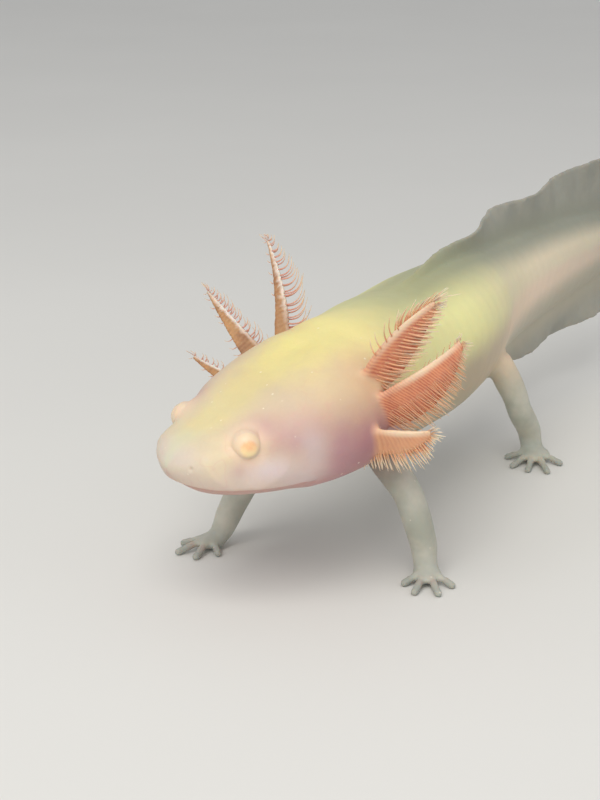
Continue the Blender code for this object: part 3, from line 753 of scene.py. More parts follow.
def near_line(points, line, most):
    """Distance to a line and the share along it, only for points in its box grown by most."""
    low, high = line.min(axis=0) - most, line.max(axis=0) + most
    inside = np.flatnonzero(((points > low) & (points < high)).all(axis=1))
    apart, share = np.full(len(points), most * 4.0), np.zeros(len(points))
    if len(inside):
        found, which = nearest(points[inside], line)
        apart[inside], share[inside] = found, which / (len(line) - 1)
    return apart, share


def leg_places(points):
    """For each leg: distance outside its surface, and the share along it."""
    share = np.linspace(0, 1, 60)
    for name in LEGS:
        apart, at = near_line(points, leg_path(name, share), 8.0)
        yield name, apart - leg_radius(name, at), at


def foot_places(points):
    """For each foot: distance from the palm's centre, and outside the nearest digit's surface."""
    for name in LEGS:
        closest, along = np.full(len(points), FAR), np.zeros(len(points))
        for fan, length in DIGITS[pair(name)]:
            apart, at = near_line(points, digit_path(name, fan, length)[0], 3.0)
            along = np.where(apart < closest, at, along)
            closest = np.minimum(closest, apart)
        palm = np.linalg.norm(points - foot_axes(name)[0], axis=1)
        yield name, palm, closest, along


def gill_places(points):
    """For each gill: distance outside its ridge and blade, share along it, offset to the blade."""
    t = np.linspace(0, 1, GILL_SAMPLES)
    for name in GILLS:
        centre, _, out, flat = gill_line(name, t)
        side = blade_side(name)
        apart, at = near_line(points, centre, 6.0)
        which = np.rint(at * (GILL_SAMPLES - 1)).astype(int)
        arm = points - centre[which]
        toward = side * (arm * out[which]).sum(axis=1)
        beside = (arm * flat[which]).sum(axis=1)
        past = toward - np.clip(toward, 0, smooth(BLADE_WIDTHS[name], at))
        rest = np.sqrt(np.maximum(apart**2 - toward**2 - beside**2, 0))
        outside = np.where(apart < 20, np.sqrt(past**2 + beside**2 + rest**2), FAR)
        yield name, outside, at, toward


# ---------------------------------------------------------------- fine forms of the skin

COSTAL_FIRST, COSTAL_LAST, COSTAL_STEP = 38.0, 78.0, 3.4
MYOMERE_STEP = 2.9
EYE_OPENING = 57.0  # degrees from the eye's axis to the rim of the skin
EYE_RIM = 0.05  # height of the rim over the eyeball
EYE_SINK = 0.93  # share of the eyeball's radius to which the skin under the opening sinks
NOSTRIL = (1.2, 14.0)  # station, degrees above level
NOSTRIL_PIT = (0.26, 0.24)  # depth, width
NOSTRIL_LIP = (0.05, 0.5, 0.25)  # height, distance from the pit's middle, width
MOUTH_CREASE = (0.42, 0.16, 0.22)  # depth, distance under the line of the mouth, width
UPPER_LIP = (0.06, 0.35, 0.3)  # height, distance over the line of the mouth, width
ROOT_ROUNDS, BODY_ROUNDS, FIN_ROUNDS = 40, 3, 8  # of smoothing
KEEP_TRIANGLES = 192000
DETAIL_LEVELS = 8


def eye_axis(side, look=EYE_LOOK):
    """The way the left (side 1) or right (side -1) eye looks, or its opening faces."""
    return unit(head_vector(look[0], side * look[1], look[2]))


def fit_round_eyes(points):
    """Skin sinks below the eyeball's surface, and hugs it with a soft rim round the opening."""
    for side in (1, -1):
        arm = points - eye_centre(side)
        apart = np.linalg.norm(arm, axis=1)
        off = np.degrees(np.arccos(np.clip(unit(arm) @ eye_axis(side), -1, 1)))
        past = off - EYE_OPENING
        inner = EYE_RADIUS * (EYE_SINK + (1 - EYE_SINK) * ease(-18, 3, past))
        rim = inner + EYE_RIM * ease(-3, 7, past)
        hold = 1 - ease(16, 54, past)
        hold *= 1 - ease(2.1 * EYE_RADIUS, 3.2 * EYE_RADIUS, apart)
        wanted = apart + (rim - apart) * hold
        points = eye_centre(side) + unit(arm) * wanted[:, None]
    return points


def soft_wave(value, step, width):
    """Narrow grooves at every whole step of a value: 1 in a groove, 0 between."""
    away = (value / step - np.round(value / step)) * step
    return bell(away, width)


def mouth_depth(station, up):
    """The crease between the lips, the upper lip's soft edge and the dimple at the corner."""
    lip = up + smooth(MOUTH_LEVEL, station)
    behind = station - MOUTH_CORNER
    depth, under, width = MOUTH_CREASE
    total = depth * bell(lip + under, width) * (1 - ease(-1.2, 0.8, behind))
    height, over, width = UPPER_LIP
    total -= height * bell(lip - over, width) * (1 - ease(-3, 0, behind))
    return total + 0.16 * bell(behind - 0.7 - 0.25 * (lip + 0.2), 0.3) * bell(lip + 0.7, 0.9)


def muscle_depth(station, up, degrees):
    """Grooves between the ribs on the trunk, and chevrons between the muscles of the tail."""
    lean = station + 0.018 * (degrees + 10)
    costal = 0.055 * soft_wave(lean - COSTAL_FIRST, COSTAL_STEP, 0.7)
    costal *= window(COSTAL_FIRST - 2, COSTAL_FIRST + 3, COSTAL_LAST - 4, COSTAL_LAST, station)
    costal *= window(-72, -45, 40, 68, degrees)
    chevrons = 0.045 * soft_wave(station + 0.55 * np.abs(up), MYOMERE_STEP, 0.5)
    return costal + chevrons * window(80, 88, 138, 152, station)


def fold_depth(station, degrees):
    """Folds of the neck, of the cheek behind the mouth and of the throat."""
    neck = 0.2 * bell(station - 28.6 + 0.012 * degrees, 0.42) * ease(-80, -50, degrees)
    neck += 0.14 * bell(station - 30.4 + 0.02 * degrees, 0.5) * ease(-70, -40, degrees)
    neck *= 1 - ease(25, 60, degrees)
    cheek = 0.14 * bell(degrees + 14 + 2.2 * (station - 17), 6.0) * window(12, 15, 20, 23, station)
    throat = 0.12 * soft_wave(station - 22.0, 1.9, 0.35) * (1 - ease(-70, -50, degrees))
    return neck + cheek + throat * window(15, 18, 27, 29, station)


def groove_depths(station, across, up, excess):
    """How far the skin sinks (or swells, below 0) at each point of the body."""
    degrees = angle_up(across, up)
    total = mouth_depth(station, up) + muscle_depth(station, up, degrees)
    return (total + fold_depth(station, degrees)) * (1 - ease(0.3, 1.0, excess))


def nostril_depth(points):
    """Two small pits at the front of the snout, each with a low rim."""
    total = np.zeros(len(points))
    for side in (1, -1):
        turned = math.radians(NOSTRIL[1] if side > 0 else 180 - NOSTRIL[1])
        station, angle = np.array([NOSTRIL[0]]), np.array([turned])
        spot = place(station, *body_section(station, angle))[0]
        apart = np.linalg.norm(points - spot, axis=1)
        total += NOSTRIL_PIT[0] * bell(apart, NOSTRIL_PIT[1])
        total -= NOSTRIL_LIP[0] * bell(apart - NOSTRIL_LIP[1], NOSTRIL_LIP[2])
    return total


def blend_weight(points, station, across, up, excess):
    """Where the skin is smoothed: at the roots of legs, fins, gills and digits."""
    near_body = bell(np.maximum(np.abs(excess - 0.2) - 0.6, 0), 0.9)
    weight = np.zeros(len(points))
    for _, outside, at in leg_places(points):
        weight = np.maximum(weight, near_body * (1 - ease(0.8, 2.2, outside)) * (at < 0.75))
    fins = bell(across, 1.8) * bell(np.maximum(np.abs(excess) - 0.4, 0), 0.8)
    weight = np.maximum(weight, 0.7 * fins * ease(38, 46, station))
    for _, outside, at, _ in gill_places(points):
        root = near_body * (1 - ease(1.2, 2.2, outside)) * (at < 0.5)
        weight = np.maximum(weight, 0.75 * root)
    for _, palm, _, along in foot_places(points):
        weight = np.maximum(weight, 0.55 * (1 - ease(2.6, 3.6, palm)) * (along < 0.6))
    return weight


def raw_skin():
    """All flesh as closed lofts that overlap, melted into one skin of small squares."""
    shapes = [body_rings()] + [fin_rings(*run) for run in FIN_RUNS.values()]
    for name in LEGS:
        shapes += [leg_rings(name), palm_rings(name), *digit_rings(name)]
    for name in GILLS:
        shapes += [stalk_rings(name), web_rings(name)]
    obj = new_object("skin", mesh_of("skin_lofts", shapes))
    melt = obj.modifiers.new("melt", "REMESH")
    melt.mode = "VOXEL"
    melt.voxel_size = VOXEL
    evaluated(obj)
    return obj


def shape_skin(obj):
    """Smooths the roots of what grows from the body, then presses the fine forms in."""
    data = obj.data
    points, edges = point_array(data), read(data.edges, "vertices", 2, np.int64)
    station, across, up, excess = body_place(points)
    weight = blend_weight(points, station, across, up, excess)
    points = relax(points, edges, 0.5 * weight, ROOT_ROUNDS)
    points = relax(points, edges, 0.35 * (excess < 0.3), BODY_ROUNDS)
    on_fin = (excess > 0.2) * (np.abs(across) < 3.0) * (station > 46)
    points = relax(points, edges, 0.5 * on_fin, FIN_ROUNDS)
    points[:, 2] = np.maximum(points[:, 2], 0.0)
    set_points(data, points)
    normals = read(data.vertices, "normal", 3)
    station, across, up, excess = body_place(points)
    depth = groove_depths(station, across, up, excess) + nostril_depth(points)
    points = fit_round_eyes(points - normals * depth[:, None])
    set_points(data, points)
    return station, across, up, excess


def thin_out(obj, detail):
    """Fewer triangles where the skin has the least detail."""
    group = obj.vertex_groups.new(name="plain")
    for level in np.linspace(0, 1, DETAIL_LEVELS + 1)[1:]:
        chosen = np.flatnonzero(np.abs(1 - detail - level) < 0.5 / DETAIL_LEVELS)
        group.add(chosen.tolist(), float(level), "REPLACE")
    change = obj.modifiers.new("thin_out", "DECIMATE")
    change.ratio = KEEP_TRIANGLES / (2.0 * len(obj.data.polygons))
    change.vertex_group = group.name
    change.vertex_group_factor = 4.0
    evaluated(obj)
    obj.vertex_groups.clear()


# ---------------------------------------------------------------- markings, as numbers on the mesh

def add_attribute(data, name, values):
    """A number for every vertex, which materials read by its name."""
    layer = data.attributes.new(name, "FLOAT", "POINT")
    layer.data.foreach_set("value", np.asarray(values, np.float32))


# Patches on the head, pink skin and, at the cheek's back and the throat, painted shade too:
# station, degrees above level, widths both ways, strength
PINK_AND_SHADE_SPOTS = (
    (9.9, 26, 1.8, 13, 0.65), (11.8, 11, 2.4, 13, 0.6), (15.0, 12, 3.0, 16, 0.45),
    (24.2, -4, 2.4, 20, 0.55), (17.6, -10, 2.3, 22, 0.8), (21.0, -12, 2.8, 24, 0.9),
    (16.0, -34, 4.0, 10, 0.7), (25.0, -28, 3.0, 18, 0.8), (5.9, -4, 1.5, 7, 0.35),
)
LILAC_SPOTS = (
    (8.9, -8, 2.3, 9, 0.8), (14.0, 2, 1.6, 11, 0.6), (1.0, 40, 1.6, 40, 0.45),
    (12.4, -20, 2.0, 7, 0.4),
)


def spots(table, station, across, up):
    """Strength of a table's patches of colour at each point, from 0 to 1."""
    degrees = angle_up(across, up)
    clear = np.ones(len(station))
    for at, angle, along, turn, strength in table:
        clear *= 1 - strength * bell(station - at, along) * bell(degrees - angle, turn)
    return 1 - clear


def leg_marks(points, excess):
    """How far each vertex lies on a leg, and on a toe or round the palm's centre, where the foot
    gets painted shade, from 0 to 1.
    """
    leg, toe = np.zeros(len(points)), np.zeros(len(points))
    for _, outside, at in leg_places(points):
        on = (1 - ease(0.6, 1.6, outside)) * ease(0.0, 0.4, at) * ease(-0.2, 1.5, excess)
        leg = np.maximum(leg, on)
    for _, palm, apart, along in foot_places(points):
        near = (1 - ease(0.7, 1.4, apart)) * ease(0.1, 0.9, along)
        # Half strength round the palm's centre: painted shade on the foot
        toe = np.maximum(toe, np.maximum(near, 0.5 * (1 - ease(1.4, 3.4, palm))))
        leg = np.maximum(leg, np.maximum(near, 1 - ease(2.6, 3.4, palm)))
    return leg, toe


def gill_marks(points, excess, leg):
    """What each vertex is of a gill: its ridge, the place among its ribs, the flush at its root."""
    keys = ("gill", "ridge", "rib", "peach", "far_gill", "flush")
    marks = {key: np.zeros(len(points)) for key in keys}
    for name, outside, at, toward in gill_places(points):
        on = (1 - ease(0.5, 1.1, outside)) * ease(0.09, 0.2, at) * ease(-0.2, 0.7, excess)
        on *= 1 - leg
        side = blade_side(name)
        # The ridge's pale band; on the far gills it also carries a painted highlight
        bright = 1 - ease(0.05, 0.75 if side > 0 else 0.35, toward)
        bright *= 0.3 + 0.7 * ease(0.25, 0.6, at) - 0.4 * ease(0.8, 1, at)
        root, reach = GILLS[name][:2]
        lean = np.tan(np.radians(LEANS[name][0] + LEANS[name][1] * (at - 0.5)))
        rib = (at * np.linalg.norm(reach) - toward * lean) / RIB_STEPS.get(name, RIB_STEP)
        peach, far = name == "gill_left_lower", side < 0
        for key, value in (("ridge", bright), ("rib", rib), ("peach", peach), ("far_gill", far)):
            marks[key] = np.where(on > marks["gill"], value, marks[key])
        marks["gill"] = np.maximum(marks["gill"], on)
        apart = np.linalg.norm((points - head_point(*root)) * [1, 1, 0.8], axis=1)
        marks["flush"] = np.maximum(marks["flush"], bell(apart, 3.6))
    return marks


def add_skin_marks(data):
    """Writes where each vertex lies on the animal, for the skin's material."""
    points = point_array(data)
    station, across, up, excess = body_place(points)
    leg, toe = leg_marks(points, excess)
    marks = gill_marks(points, excess, leg)
    fin = ease(0.2, 4.5, excess) * (1 - leg) * (1 - marks["gill"])
    fin *= (1 - ease(2.2, 4.5, np.abs(across))) * ease(36, 46, station)
    from_eyes = [np.linalg.norm(points - eye_centre(side), axis=1) for side in (1, -1)]
    lip = up + smooth(MOUTH_LEVEL, station)
    # The lower jaw under the line of the mouth, which the material paints darker pink: its own
    # pinker tone and painted shade under the overhanging upper lip
    jaw = (1 - ease(-0.35, 0.1, lip)) * (1 - ease(MOUTH_CORNER - 1, MOUTH_CORNER + 5, station))
    marks.update({
        "station": station, "level": angle_up(across, up) / 90, "leg": leg, "toe": toe,
        "fin": fin, "jaw": jaw, "by_eye": sum(bell(apart - EYE_RADIUS, 1.1) for apart in from_eyes),
        "pink": spots(PINK_AND_SHADE_SPOTS, station, across, up) * (excess < 1.5),
        "lilac": spots(LILAC_SPOTS, station, across, up) * (excess < 1.5),
    })
    for name, values in marks.items():
        add_attribute(data, name, values)


FLESH_NODES = [
    "head", "lower_jaw", "neck", "trunk_front", "trunk_middle", "trunk_rear",
    "tail_base", "tail_middle", "tail_tip",
    "dorsal_fin_trunk", "dorsal_fin_tail_base", "dorsal_fin_tail_middle", "dorsal_fin_tail_tip",
    "ventral_fin_tail_base", "ventral_fin_tail_middle", "ventral_fin_tail_tip",
    *(f"{piece}_{side}" for side in ("left", "right")
      for piece in ("upper_arm", "forearm", "hand", "thigh", "shin", "foot")),
]


def make_skin(skin_material):
    """The one skin, shaded smooth, in place of every node of flesh."""
    obj = raw_skin()
    station, _, _, excess = shape_skin(obj)
    detail = 0.2 + 0.8 * (1 - ease(25, 33, station)) + 0.25 * ease(0.5, 1.5, excess)
    thin_out(obj, np.clip(detail, 0, 1))
    data = obj.data
    add_skin_marks(data)
    set_points(data, in_frame(point_array(data)))
    data.shade_smooth()
    data.materials.append(skin_material)
    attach(obj, "root")
    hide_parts(*FLESH_NODES)


# ---------------------------------------------------------------- eyes

EYE_RINGS = 90
EYE_SIDES = 96


def make_eye(name, side, eye_material):
    """An eyeball whose cornea swells a little. Its rings are circles round the way it looks."""
    axis = eye_axis(side, IRIS_LOOK)
    upward = unit(np.array([0, 0, 1.0]) - axis * axis[2])
    aside = np.cross(upward, axis)
    off = np.radians(np.linspace(0.6, 179.4, EYE_RINGS))[:, None]
    turn = np.linspace(0, 2 * np.pi, EYE_SIDES, endpoint=False)[None, :]
    radius = EYE_RADIUS * (1 + 0.03 * bell(np.degrees(off), 38))
    along, out = radius * np.cos(off), radius * np.sin(off)
    rings = (
        eye_centre(side)
        + along[..., None] * axis
        + (out * np.cos(turn))[..., None] * aside
        + (out * np.sin(turn))[..., None] * upward
    )
    if side > 0:
        rings = rings[:, ::-1]
    data = mesh_of(name, [rings])
    points = point_array(data) - eye_centre(side)
    add_attribute(data, "from_axis", np.linalg.norm(np.cross(points, axis), axis=1) / EYE_RADIUS)
    add_attribute(data, "eye_up", points @ upward / EYE_RADIUS)
    set_points(data, in_frame(point_array(data)))
    data.shade_smooth()
    data.materials.append(eye_material)
    obj = new_object(f"{name}_ball", data)
    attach(obj, "root")
    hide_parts(name)


# ---------------------------------------------------------------- gill filaments

FILAMENT_RINGS = 9
FILAMENT_SIDES = 5
FILAMENT_DROP = (0.0, 0.0, -0.06)  # how far tips hang, as a share of the length
PATCH = 0.003  # size of a filament's patch on the bake map
PATCH_ROWS = 9  # for each gill, on the bake map
# Rows of filaments: side of the stalk (1 is the comb's), face of the blade, share of the blade's
# width where they start, further lean, count, share of the reach, first and last place along the
# stalk
ROWS = {
    "gill_left_upper": (
        (1, -1, 0.3, 0, 24, 1.0, 0.14, 0.97), (1, 1, 0.35, 0, 22, 0.95, 0.15, 0.98),
        (1, -1, 0.6, 4, 24, 0.86, 0.15, 0.96), (-1, -1, 0, 12, 5, 1.1, 0.33, 0.62),
        (-1, 1, 0, 24, 18, 0.75, 0.58, 0.99), (1, -1, 0.3, 20, 12, 0.9, 0.93, 1.0),
        (-1, 0, 0, 35, 10, 0.45, 0.93, 1.0), (1, -1, 0.55, -22, 6, 0.9, 0.04, 0.13),
    ),
    "gill_left_middle": (
        (1, -1, 0.42, 0, 46, 1.0, 0.12, 0.98), (1, 1, 0.5, 0, 40, 0.96, 0.13, 0.98),
        (1, -1, 0.7, 3, 46, 0.9, 0.13, 0.97), (1, 0, 0.3, 30, 14, 0.8, 0.93, 1.0),
        (-1, 0, 0, 40, 7, 0.9, 0.6, 0.98), (-1, 0, 0, 50, 10, 0.7, 0.93, 1.0),
    ),
    "gill_left_lower": (
        (1, -1, 0.68, 0, 26, 1.0, 0.1, 0.97), (1, 1, 0.75, 4, 24, 0.95, 0.12, 0.98),
        (1, -1, 0.88, 8, 22, 0.85, 0.14, 0.96), (1, 0, 0.3, 20, 12, 1.1, 0.93, 1.0),
        (-1, 0, 0, 50, 9, 1.0, 0.94, 1.0),
    ),
    "gill_right_upper": (
        (1, -1, 0, 0, 17, 1.0, 0.18, 0.96), (1, 1, 0, 6, 15, 0.9, 0.2, 0.97),
        (-1, 0, 0.9, 20, 6, 0.7, 0.5, 0.95), (1, 0, 0, 60, 4, 0.8, 0.96, 1.0),
        (-1, 0, 0, 60, 4, 1.2, 0.95, 1.0),
    ),
    "gill_right_middle": (
        (1, -1, 0, 0, 17, 1.0, 0.2, 0.96), (1, 1, 0, 6, 15, 0.88, 0.22, 0.97),
        (-1, 0, 0.9, -10, 4, 1.1, 0.22, 0.45), (-1, 0, 0.9, 25, 5, 0.5, 0.6, 0.97),
        (1, 0, 0, 60, 4, 0.8, 0.96, 1.0),
    ),
    "gill_right_lower": (
        (1, -1, 0, 0, 11, 1.0, 0.3, 0.97), (1, 1, 0, 6, 9, 0.9, 0.34, 0.98),
        (-1, 0, 0.9, 15, 4, 0.8, 0.5, 0.95), (1, 0, 0, 60, 3, 0.8, 0.96, 1.0),
    ),
}
FILAMENT_ROOT_RADII = {
    "gill_left_upper": 0.15, "gill_left_middle": 0.085, "gill_left_lower": 0.11,
    "gill_right_upper": 0.115, "gill_right_middle": 0.105, "gill_right_lower": 0.1,
}
FILAMENT_TINTS = {  # range of tints, from salmon to pale
    "gill_left_upper": (0.2, 0.8), "gill_left_middle": (0.0, 0.45), "gill_left_lower": (0.5, 1.0),
}
FILAMENT_TIP_RADIUS = 0.032


def filament_curves(name, draw):
    """Root, first direction, curl and length of each filament of a gill, row after row."""
    short_row = GILLS[name][4]
    gill_lean, fan, curl = LEANS[name]
    pieces = []
    for row, (sense, face, begin, lean, count, part, first, last) in enumerate(ROWS[name]):
        t = np.linspace(first, last, count) + draw.normal(0, 0.16 / count, count) * (last - first)
        t = np.clip(t, 0, 1)
        centre, tangent, out, flat = gill_line(name, t)
        blade = smooth(BLADE_WIDTHS[name], t) * (sense == blade_side(name))
        spread = np.radians(face * draw.uniform(3, 11, count) + draw.normal(0, 3, count))[:, None]
        scatter = 3 + 220 * np.maximum(t - 0.9, 0)  # the tip's filaments stand every way
        leaning = gill_lean + fan * (t - 0.5) + lean + draw.normal(0, 1, count) * scatter
        leaning = np.radians(leaning)[:, None]
        across = np.cos(spread) * sense * out + np.sin(spread) * flat
        aim = np.cos(leaning) * across + np.sin(leaning) * tangent
        full = smooth(FRINGE_REACHES[name], t) - begin * blade if sense > 0 else short_row
        length = full * part * draw.uniform(0.86, 1.06, count)
        length = length / np.cos(leaning[:, 0]).clip(0.7)
        root = centre + (0.35 * gill_radius(t) + begin * blade)[:, None] * sense * out
        root = root + (face * (blade_half(t, begin) - 0.08))[:, None] * flat
        bend = curl * (tangent - 0.45 * across) + draw.normal(0, 0.035, (count, 3))
        room = (CAD_BOX[1][2] / MM - SHIFT[2] - 0.1 - root[:, 2]).clip(0.3)
        length = np.minimum(length, room / (aim + bend)[:, 2].clip(0.05))
        pieces.append((root, aim, bend, length, t, np.full(count, row), np.full(count, sense)))
    return [np.concatenate(column) for column in zip(*pieces)]


def filament_mesh(name, draw):
    """Thin tubes: a point is root + aim * length * u + bend * length * u squared."""
    root, aim, bend, length, t, row, sense = filament_curves(name, draw)
    count = len(root)
    u = np.linspace(0, 1, FILAMENT_RINGS)[None, :, None]
    reach = length[:, None, None]
    bend = bend[:, None] + FILAMENT_DROP
    path = root[:, None] + aim[:, None] * reach * u + bend * reach * u**2
    tangent = unit(aim[:, None] + 2 * bend * u)
    side = unit(np.cross(tangent, np.array([0.3, 0.2, 1.0])))
    over = np.cross(side, tangent)
    near_tip = ease(0.85, 0.97, t)
    thick = FILAMENT_ROOT_RADII[name] * draw.uniform(0.8, 1.1, count)
    thick *= np.where(sense > 0, 1.0, 0.7) * (1 - 0.4 * near_tip)
    radius = FILAMENT_TIP_RADIUS + (thick[:, None, None] - FILAMENT_TIP_RADIUS) * (1 - u**1.4)
    angle = np.linspace(0, 2 * np.pi, FILAMENT_SIDES, endpoint=False)
    ring = np.cos(angle)[None, None, :, None] * side[:, :, None]
    ring = ring + np.sin(angle)[None, None, :, None] * over[:, :, None]
    points = path[:, :, None] + radius[..., None] * ring
    tint = draw.uniform(*FILAMENT_TINTS.get(name, (0, 1)), count)
    return points, t, row, tint + (1 - tint) * 0.7 * near_tip


def make_filaments(name, gill_material, draw):
    """All filaments of one gill as one mesh, each with its own small patch of the bake map."""
    points, t, row, tint = filament_mesh(name, draw)
    count, rings, sides = points.shape[:3]
    data = mesh_of(name, in_frame(points))
    along = np.broadcast_to(np.linspace(0, 1, rings)[None, :, None], (count, rings, sides))
    add_attribute(data, "along", along.ravel())
    add_attribute(data, "tint", np.repeat(tint, rings * sides))
    add_attribute(data, "far_gill", np.full(along.size, float("right" in name)))
    number = list(GILLS).index(name)
    across = np.broadcast_to(np.arange(sides)[None, None, :] / sides, along.shape)
    u = 0.05 + 0.9 * t[:, None, None] + PATCH * across
    v = (number + (row[:, None, None] + 0.5) / PATCH_ROWS) / len(GILLS) + PATCH * along
    corner = read(data.loops, "vertex_index", 1, np.int64).ravel()
    layer = data.uv_layers.new(name="OFBake")
    layer.data.foreach_set("uv", np.stack([u.ravel(), v.ravel()], -1)[corner].ravel())
    data.shade_smooth()
    data.materials.append(gill_material)
    obj = new_object(f"{name}_filaments", data)
    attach(obj, "root")
    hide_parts(name)


# ---------------------------------------------------------------- paint

def rgb(red, green, blue):
    """A screen colour, 0 to 255, as the linear colour that shaders use."""
    c = np.array([red, green, blue]) / 255
    linear = np.where(c <= 0.04045, c / 12.92, ((c + 0.055) / 1.055) ** 2.4)
    return (*linear.tolist(), 1.0)


class Value:
    """A value in a material. Arithmetic on it adds Math nodes."""

    def __init__(self, paint, socket):
        self.paint, self.socket = paint, socket

    def math(self, operation, *values):
        """A Math node on values and numbers."""
        return self.paint.node("ShaderNodeMath", {"operation": operation}, dict(enumerate(values)))

    def __add__(self, other):
        return self.math("ADD", self, other)

    def __sub__(self, other):
        return self.math("SUBTRACT", self, other)

    def __rsub__(self, other):
        return self.math("SUBTRACT", other, self)

    def __mul__(self, other):
        return self.math("MULTIPLY", self, other)

    def __truediv__(self, other):
        return self.math("DIVIDE", self, other)

    __radd__ = __add__
    __rmul__ = __mul__

    def sine(self):
        return self.math("SINE", self)

    def __abs__(self):
        return self.math("ABSOLUTE", self)


class Paint:
    """A material with one Principled shader, whose fixed values are given by socket."""

    def __init__(self, name, **fixed):
        self.material = bpy.data.materials.new(name)
        self.material.use_nodes = True
        self.tree = self.material.node_tree
        self.shader = self.tree.nodes["Principled BSDF"]
        self.shade(**fixed)

    def node(self, kind, settings=None, inputs=None, output=0):
        """A new node: its settings are set first, then the values or links of its sockets."""
        made = self.tree.nodes.new(kind)
        for key, value in (settings or {}).items():
            if key == "stops":
                ramp = made.color_ramp
                for _ in range(len(value) - len(ramp.elements)):
                    ramp.elements.new(0.5)
                for element, (at, colour) in zip(ramp.elements, value):
                    element.position, element.color = at, colour
            else:
                setattr(made, key, value)
        for key, value in (inputs or {}).items():
            self.join(value, made.inputs[key])
        return Value(self, made.outputs[output])

    def join(self, value, socket):
        """Links a value to a socket, or sets the socket to a number or colour."""
        if isinstance(value, Value):
            self.tree.links.new(value.socket, socket)
        else:
            socket.default_value = value

    def shade(self, **inputs):
        """Links or sets the shader's own sockets."""
        for key, value in inputs.items():
            socket = key.replace("_", " ").title().replace("Ior", "IOR")
            self.join(value, self.shader.inputs[socket])
        return self.material

    def mark(self, name):
        """A number that the mesh holds at each vertex."""
        settings = {"attribute_type": "GEOMETRY", "attribute_name": name}
        return self.node("ShaderNodeAttribute", settings, {}, "Fac")

    def between(self, value, low, high):
        """0 below low, 1 above high, smooth between. It falls instead where low is above high."""
        inputs = {"Value": value, "From Min": low, "From Max": high}
        if low > high:
            inputs.update({"From Min": high, "From Max": low, "To Min": 1.0, "To Max": 0.0})
        return self.node("ShaderNodeMapRange", {"interpolation_type": "SMOOTHSTEP"}, inputs)

    def place(self, offset):
        """The point on the object, moved by an offset."""
        where = self.node("ShaderNodeTexCoord", {}, {}, "Object")
        return self.node("ShaderNodeVectorMath", {"operation": "ADD"}, {0: where, 1: offset})

    def noise(self, size, seed, detail=2.0, rough=0.5, warp=0.0):
        """Cloudy noise about 0.5, whose clouds are about size millimetres across."""
        inputs = {
            "Vector": self.place((seed, seed * 0.7, -seed)), "Scale": 1 / (size * MM),
            "Detail": detail, "Roughness": rough, "Distortion": warp,
        }
        return self.node("ShaderNodeTexNoise", {"noise_dimensions": "3D"}, inputs, "Fac")

    def cells(self, size, feature, output, seed):
        """Scattered cells about size millimetres across."""
        inputs = {"Vector": self.place((seed, -seed, seed * 0.6)), "Scale": 1 / (size * MM)}
        settings = {"voronoi_dimensions": "3D", "feature": feature, "distance": "EUCLIDEAN"}
        return self.node("ShaderNodeTexVoronoi", settings, inputs, output)

    def ramp(self, value, stops):
        """Colours along a value: stops are (place, screen colour)."""
        stops = [(at, rgb(*colour)) for at, colour in stops]
        return self.node("ShaderNodeValToRGB", {"stops": stops}, {0: value})

    def mix(self, share, first, second, how="MIX"):
        """Mixes two colours. A colour is a link or a screen colour."""
        first, second = (c if isinstance(c, Value) else rgb(*c) for c in (first, second))
        settings = {"data_type": "RGBA", "blend_type": how}
        return self.node("ShaderNodeMix", settings, {0: share, 6: first, 7: second}, 2)

    def bump(self, height, distance, strength):
        """A normal that leans as on a relief of height times distance millimetres."""
        inputs = {"Height": height, "Distance": distance * MM, "Strength": strength}
        return self.node("ShaderNodeBump", {}, inputs)


def flesh(name, scatter, depth, gloss):
    """Wet flesh, under whose surface red light goes the given depth in millimetres."""
    return Paint(
        name, subsurface_weight=scatter, subsurface_radius=(1.0, 0.5, 0.3),
        subsurface_scale=depth * MM, ior=1.36, specular_ior_level=gloss,
    )


# Colours along the body, from snout to tail tip: (station, colour)
# The back behind the head darkens to olive grey: painted shade that offsets the lamp from above, so
# the flank's yellow band reads brightest
BACK_COLOURS = (
    (0, (206, 203, 178)), (6, (216, 202, 156)), (14, (214, 198, 146)), (21, (224, 211, 142)),
    (28, (222, 211, 148)), (36, (192, 190, 140)), (52, (166, 166, 127)), (68, (156, 158, 130)),
    (84, (152, 153, 136)), (122, (148, 149, 136)), (160, (145, 148, 134)),
)
SIDE_COLOURS = (
    (0, (208, 196, 172)), (6, (214, 197, 165)), (13, (207, 188, 162)), (20, (212, 192, 154)),
    (27, (226, 209, 150)), (36, (230, 223, 160)), (54, (236, 231, 165)), (68, (230, 223, 170)),
    # Brightest at stations 82 and 98: painted light on the tail's base, which the lamps light less
    (82, (232, 220, 184)), (98, (234, 220, 192)), (130, (208, 199, 176)), (160, (176, 170, 150)),
)
LOW_SIDE_COLOURS = (
    # Darker at station 20: painted shade on the throat under the gills
    (0, (208, 190, 174)), (6, (208, 190, 176)), (13, (206, 184, 176)), (20, (176, 146, 140)),
    (27, (186, 156, 142)), (36, (188, 172, 146)), (54, (184, 168, 142)), (68, (200, 182, 156)),
    # Brightest at stations 82 and 98: painted light on the tail's base, which the lamps light less
    (82, (236, 212, 184)), (98, (238, 216, 192)), (130, (206, 190, 172)), (160, (168, 162, 146)),
)
BELLY_COLOURS = (
    # Dark at stations 20 and 29: painted shade under the throat
    (0, (206, 180, 166)), (9, (192, 160, 152)), (20, (138, 106, 102)), (29, (142, 120, 110)),
    (42, (166, 160, 144)), (60, (180, 174, 156)), (80, (196, 188, 168)), (120, (180, 174, 156)),
    (160, (156, 152, 138)),
)


def along_body(paint, station, colours):
    """Colours in a row by the station as a share of the body's length."""
    return paint.ramp(station / LENGTH, [(at / LENGTH, colour) for at, colour in colours])


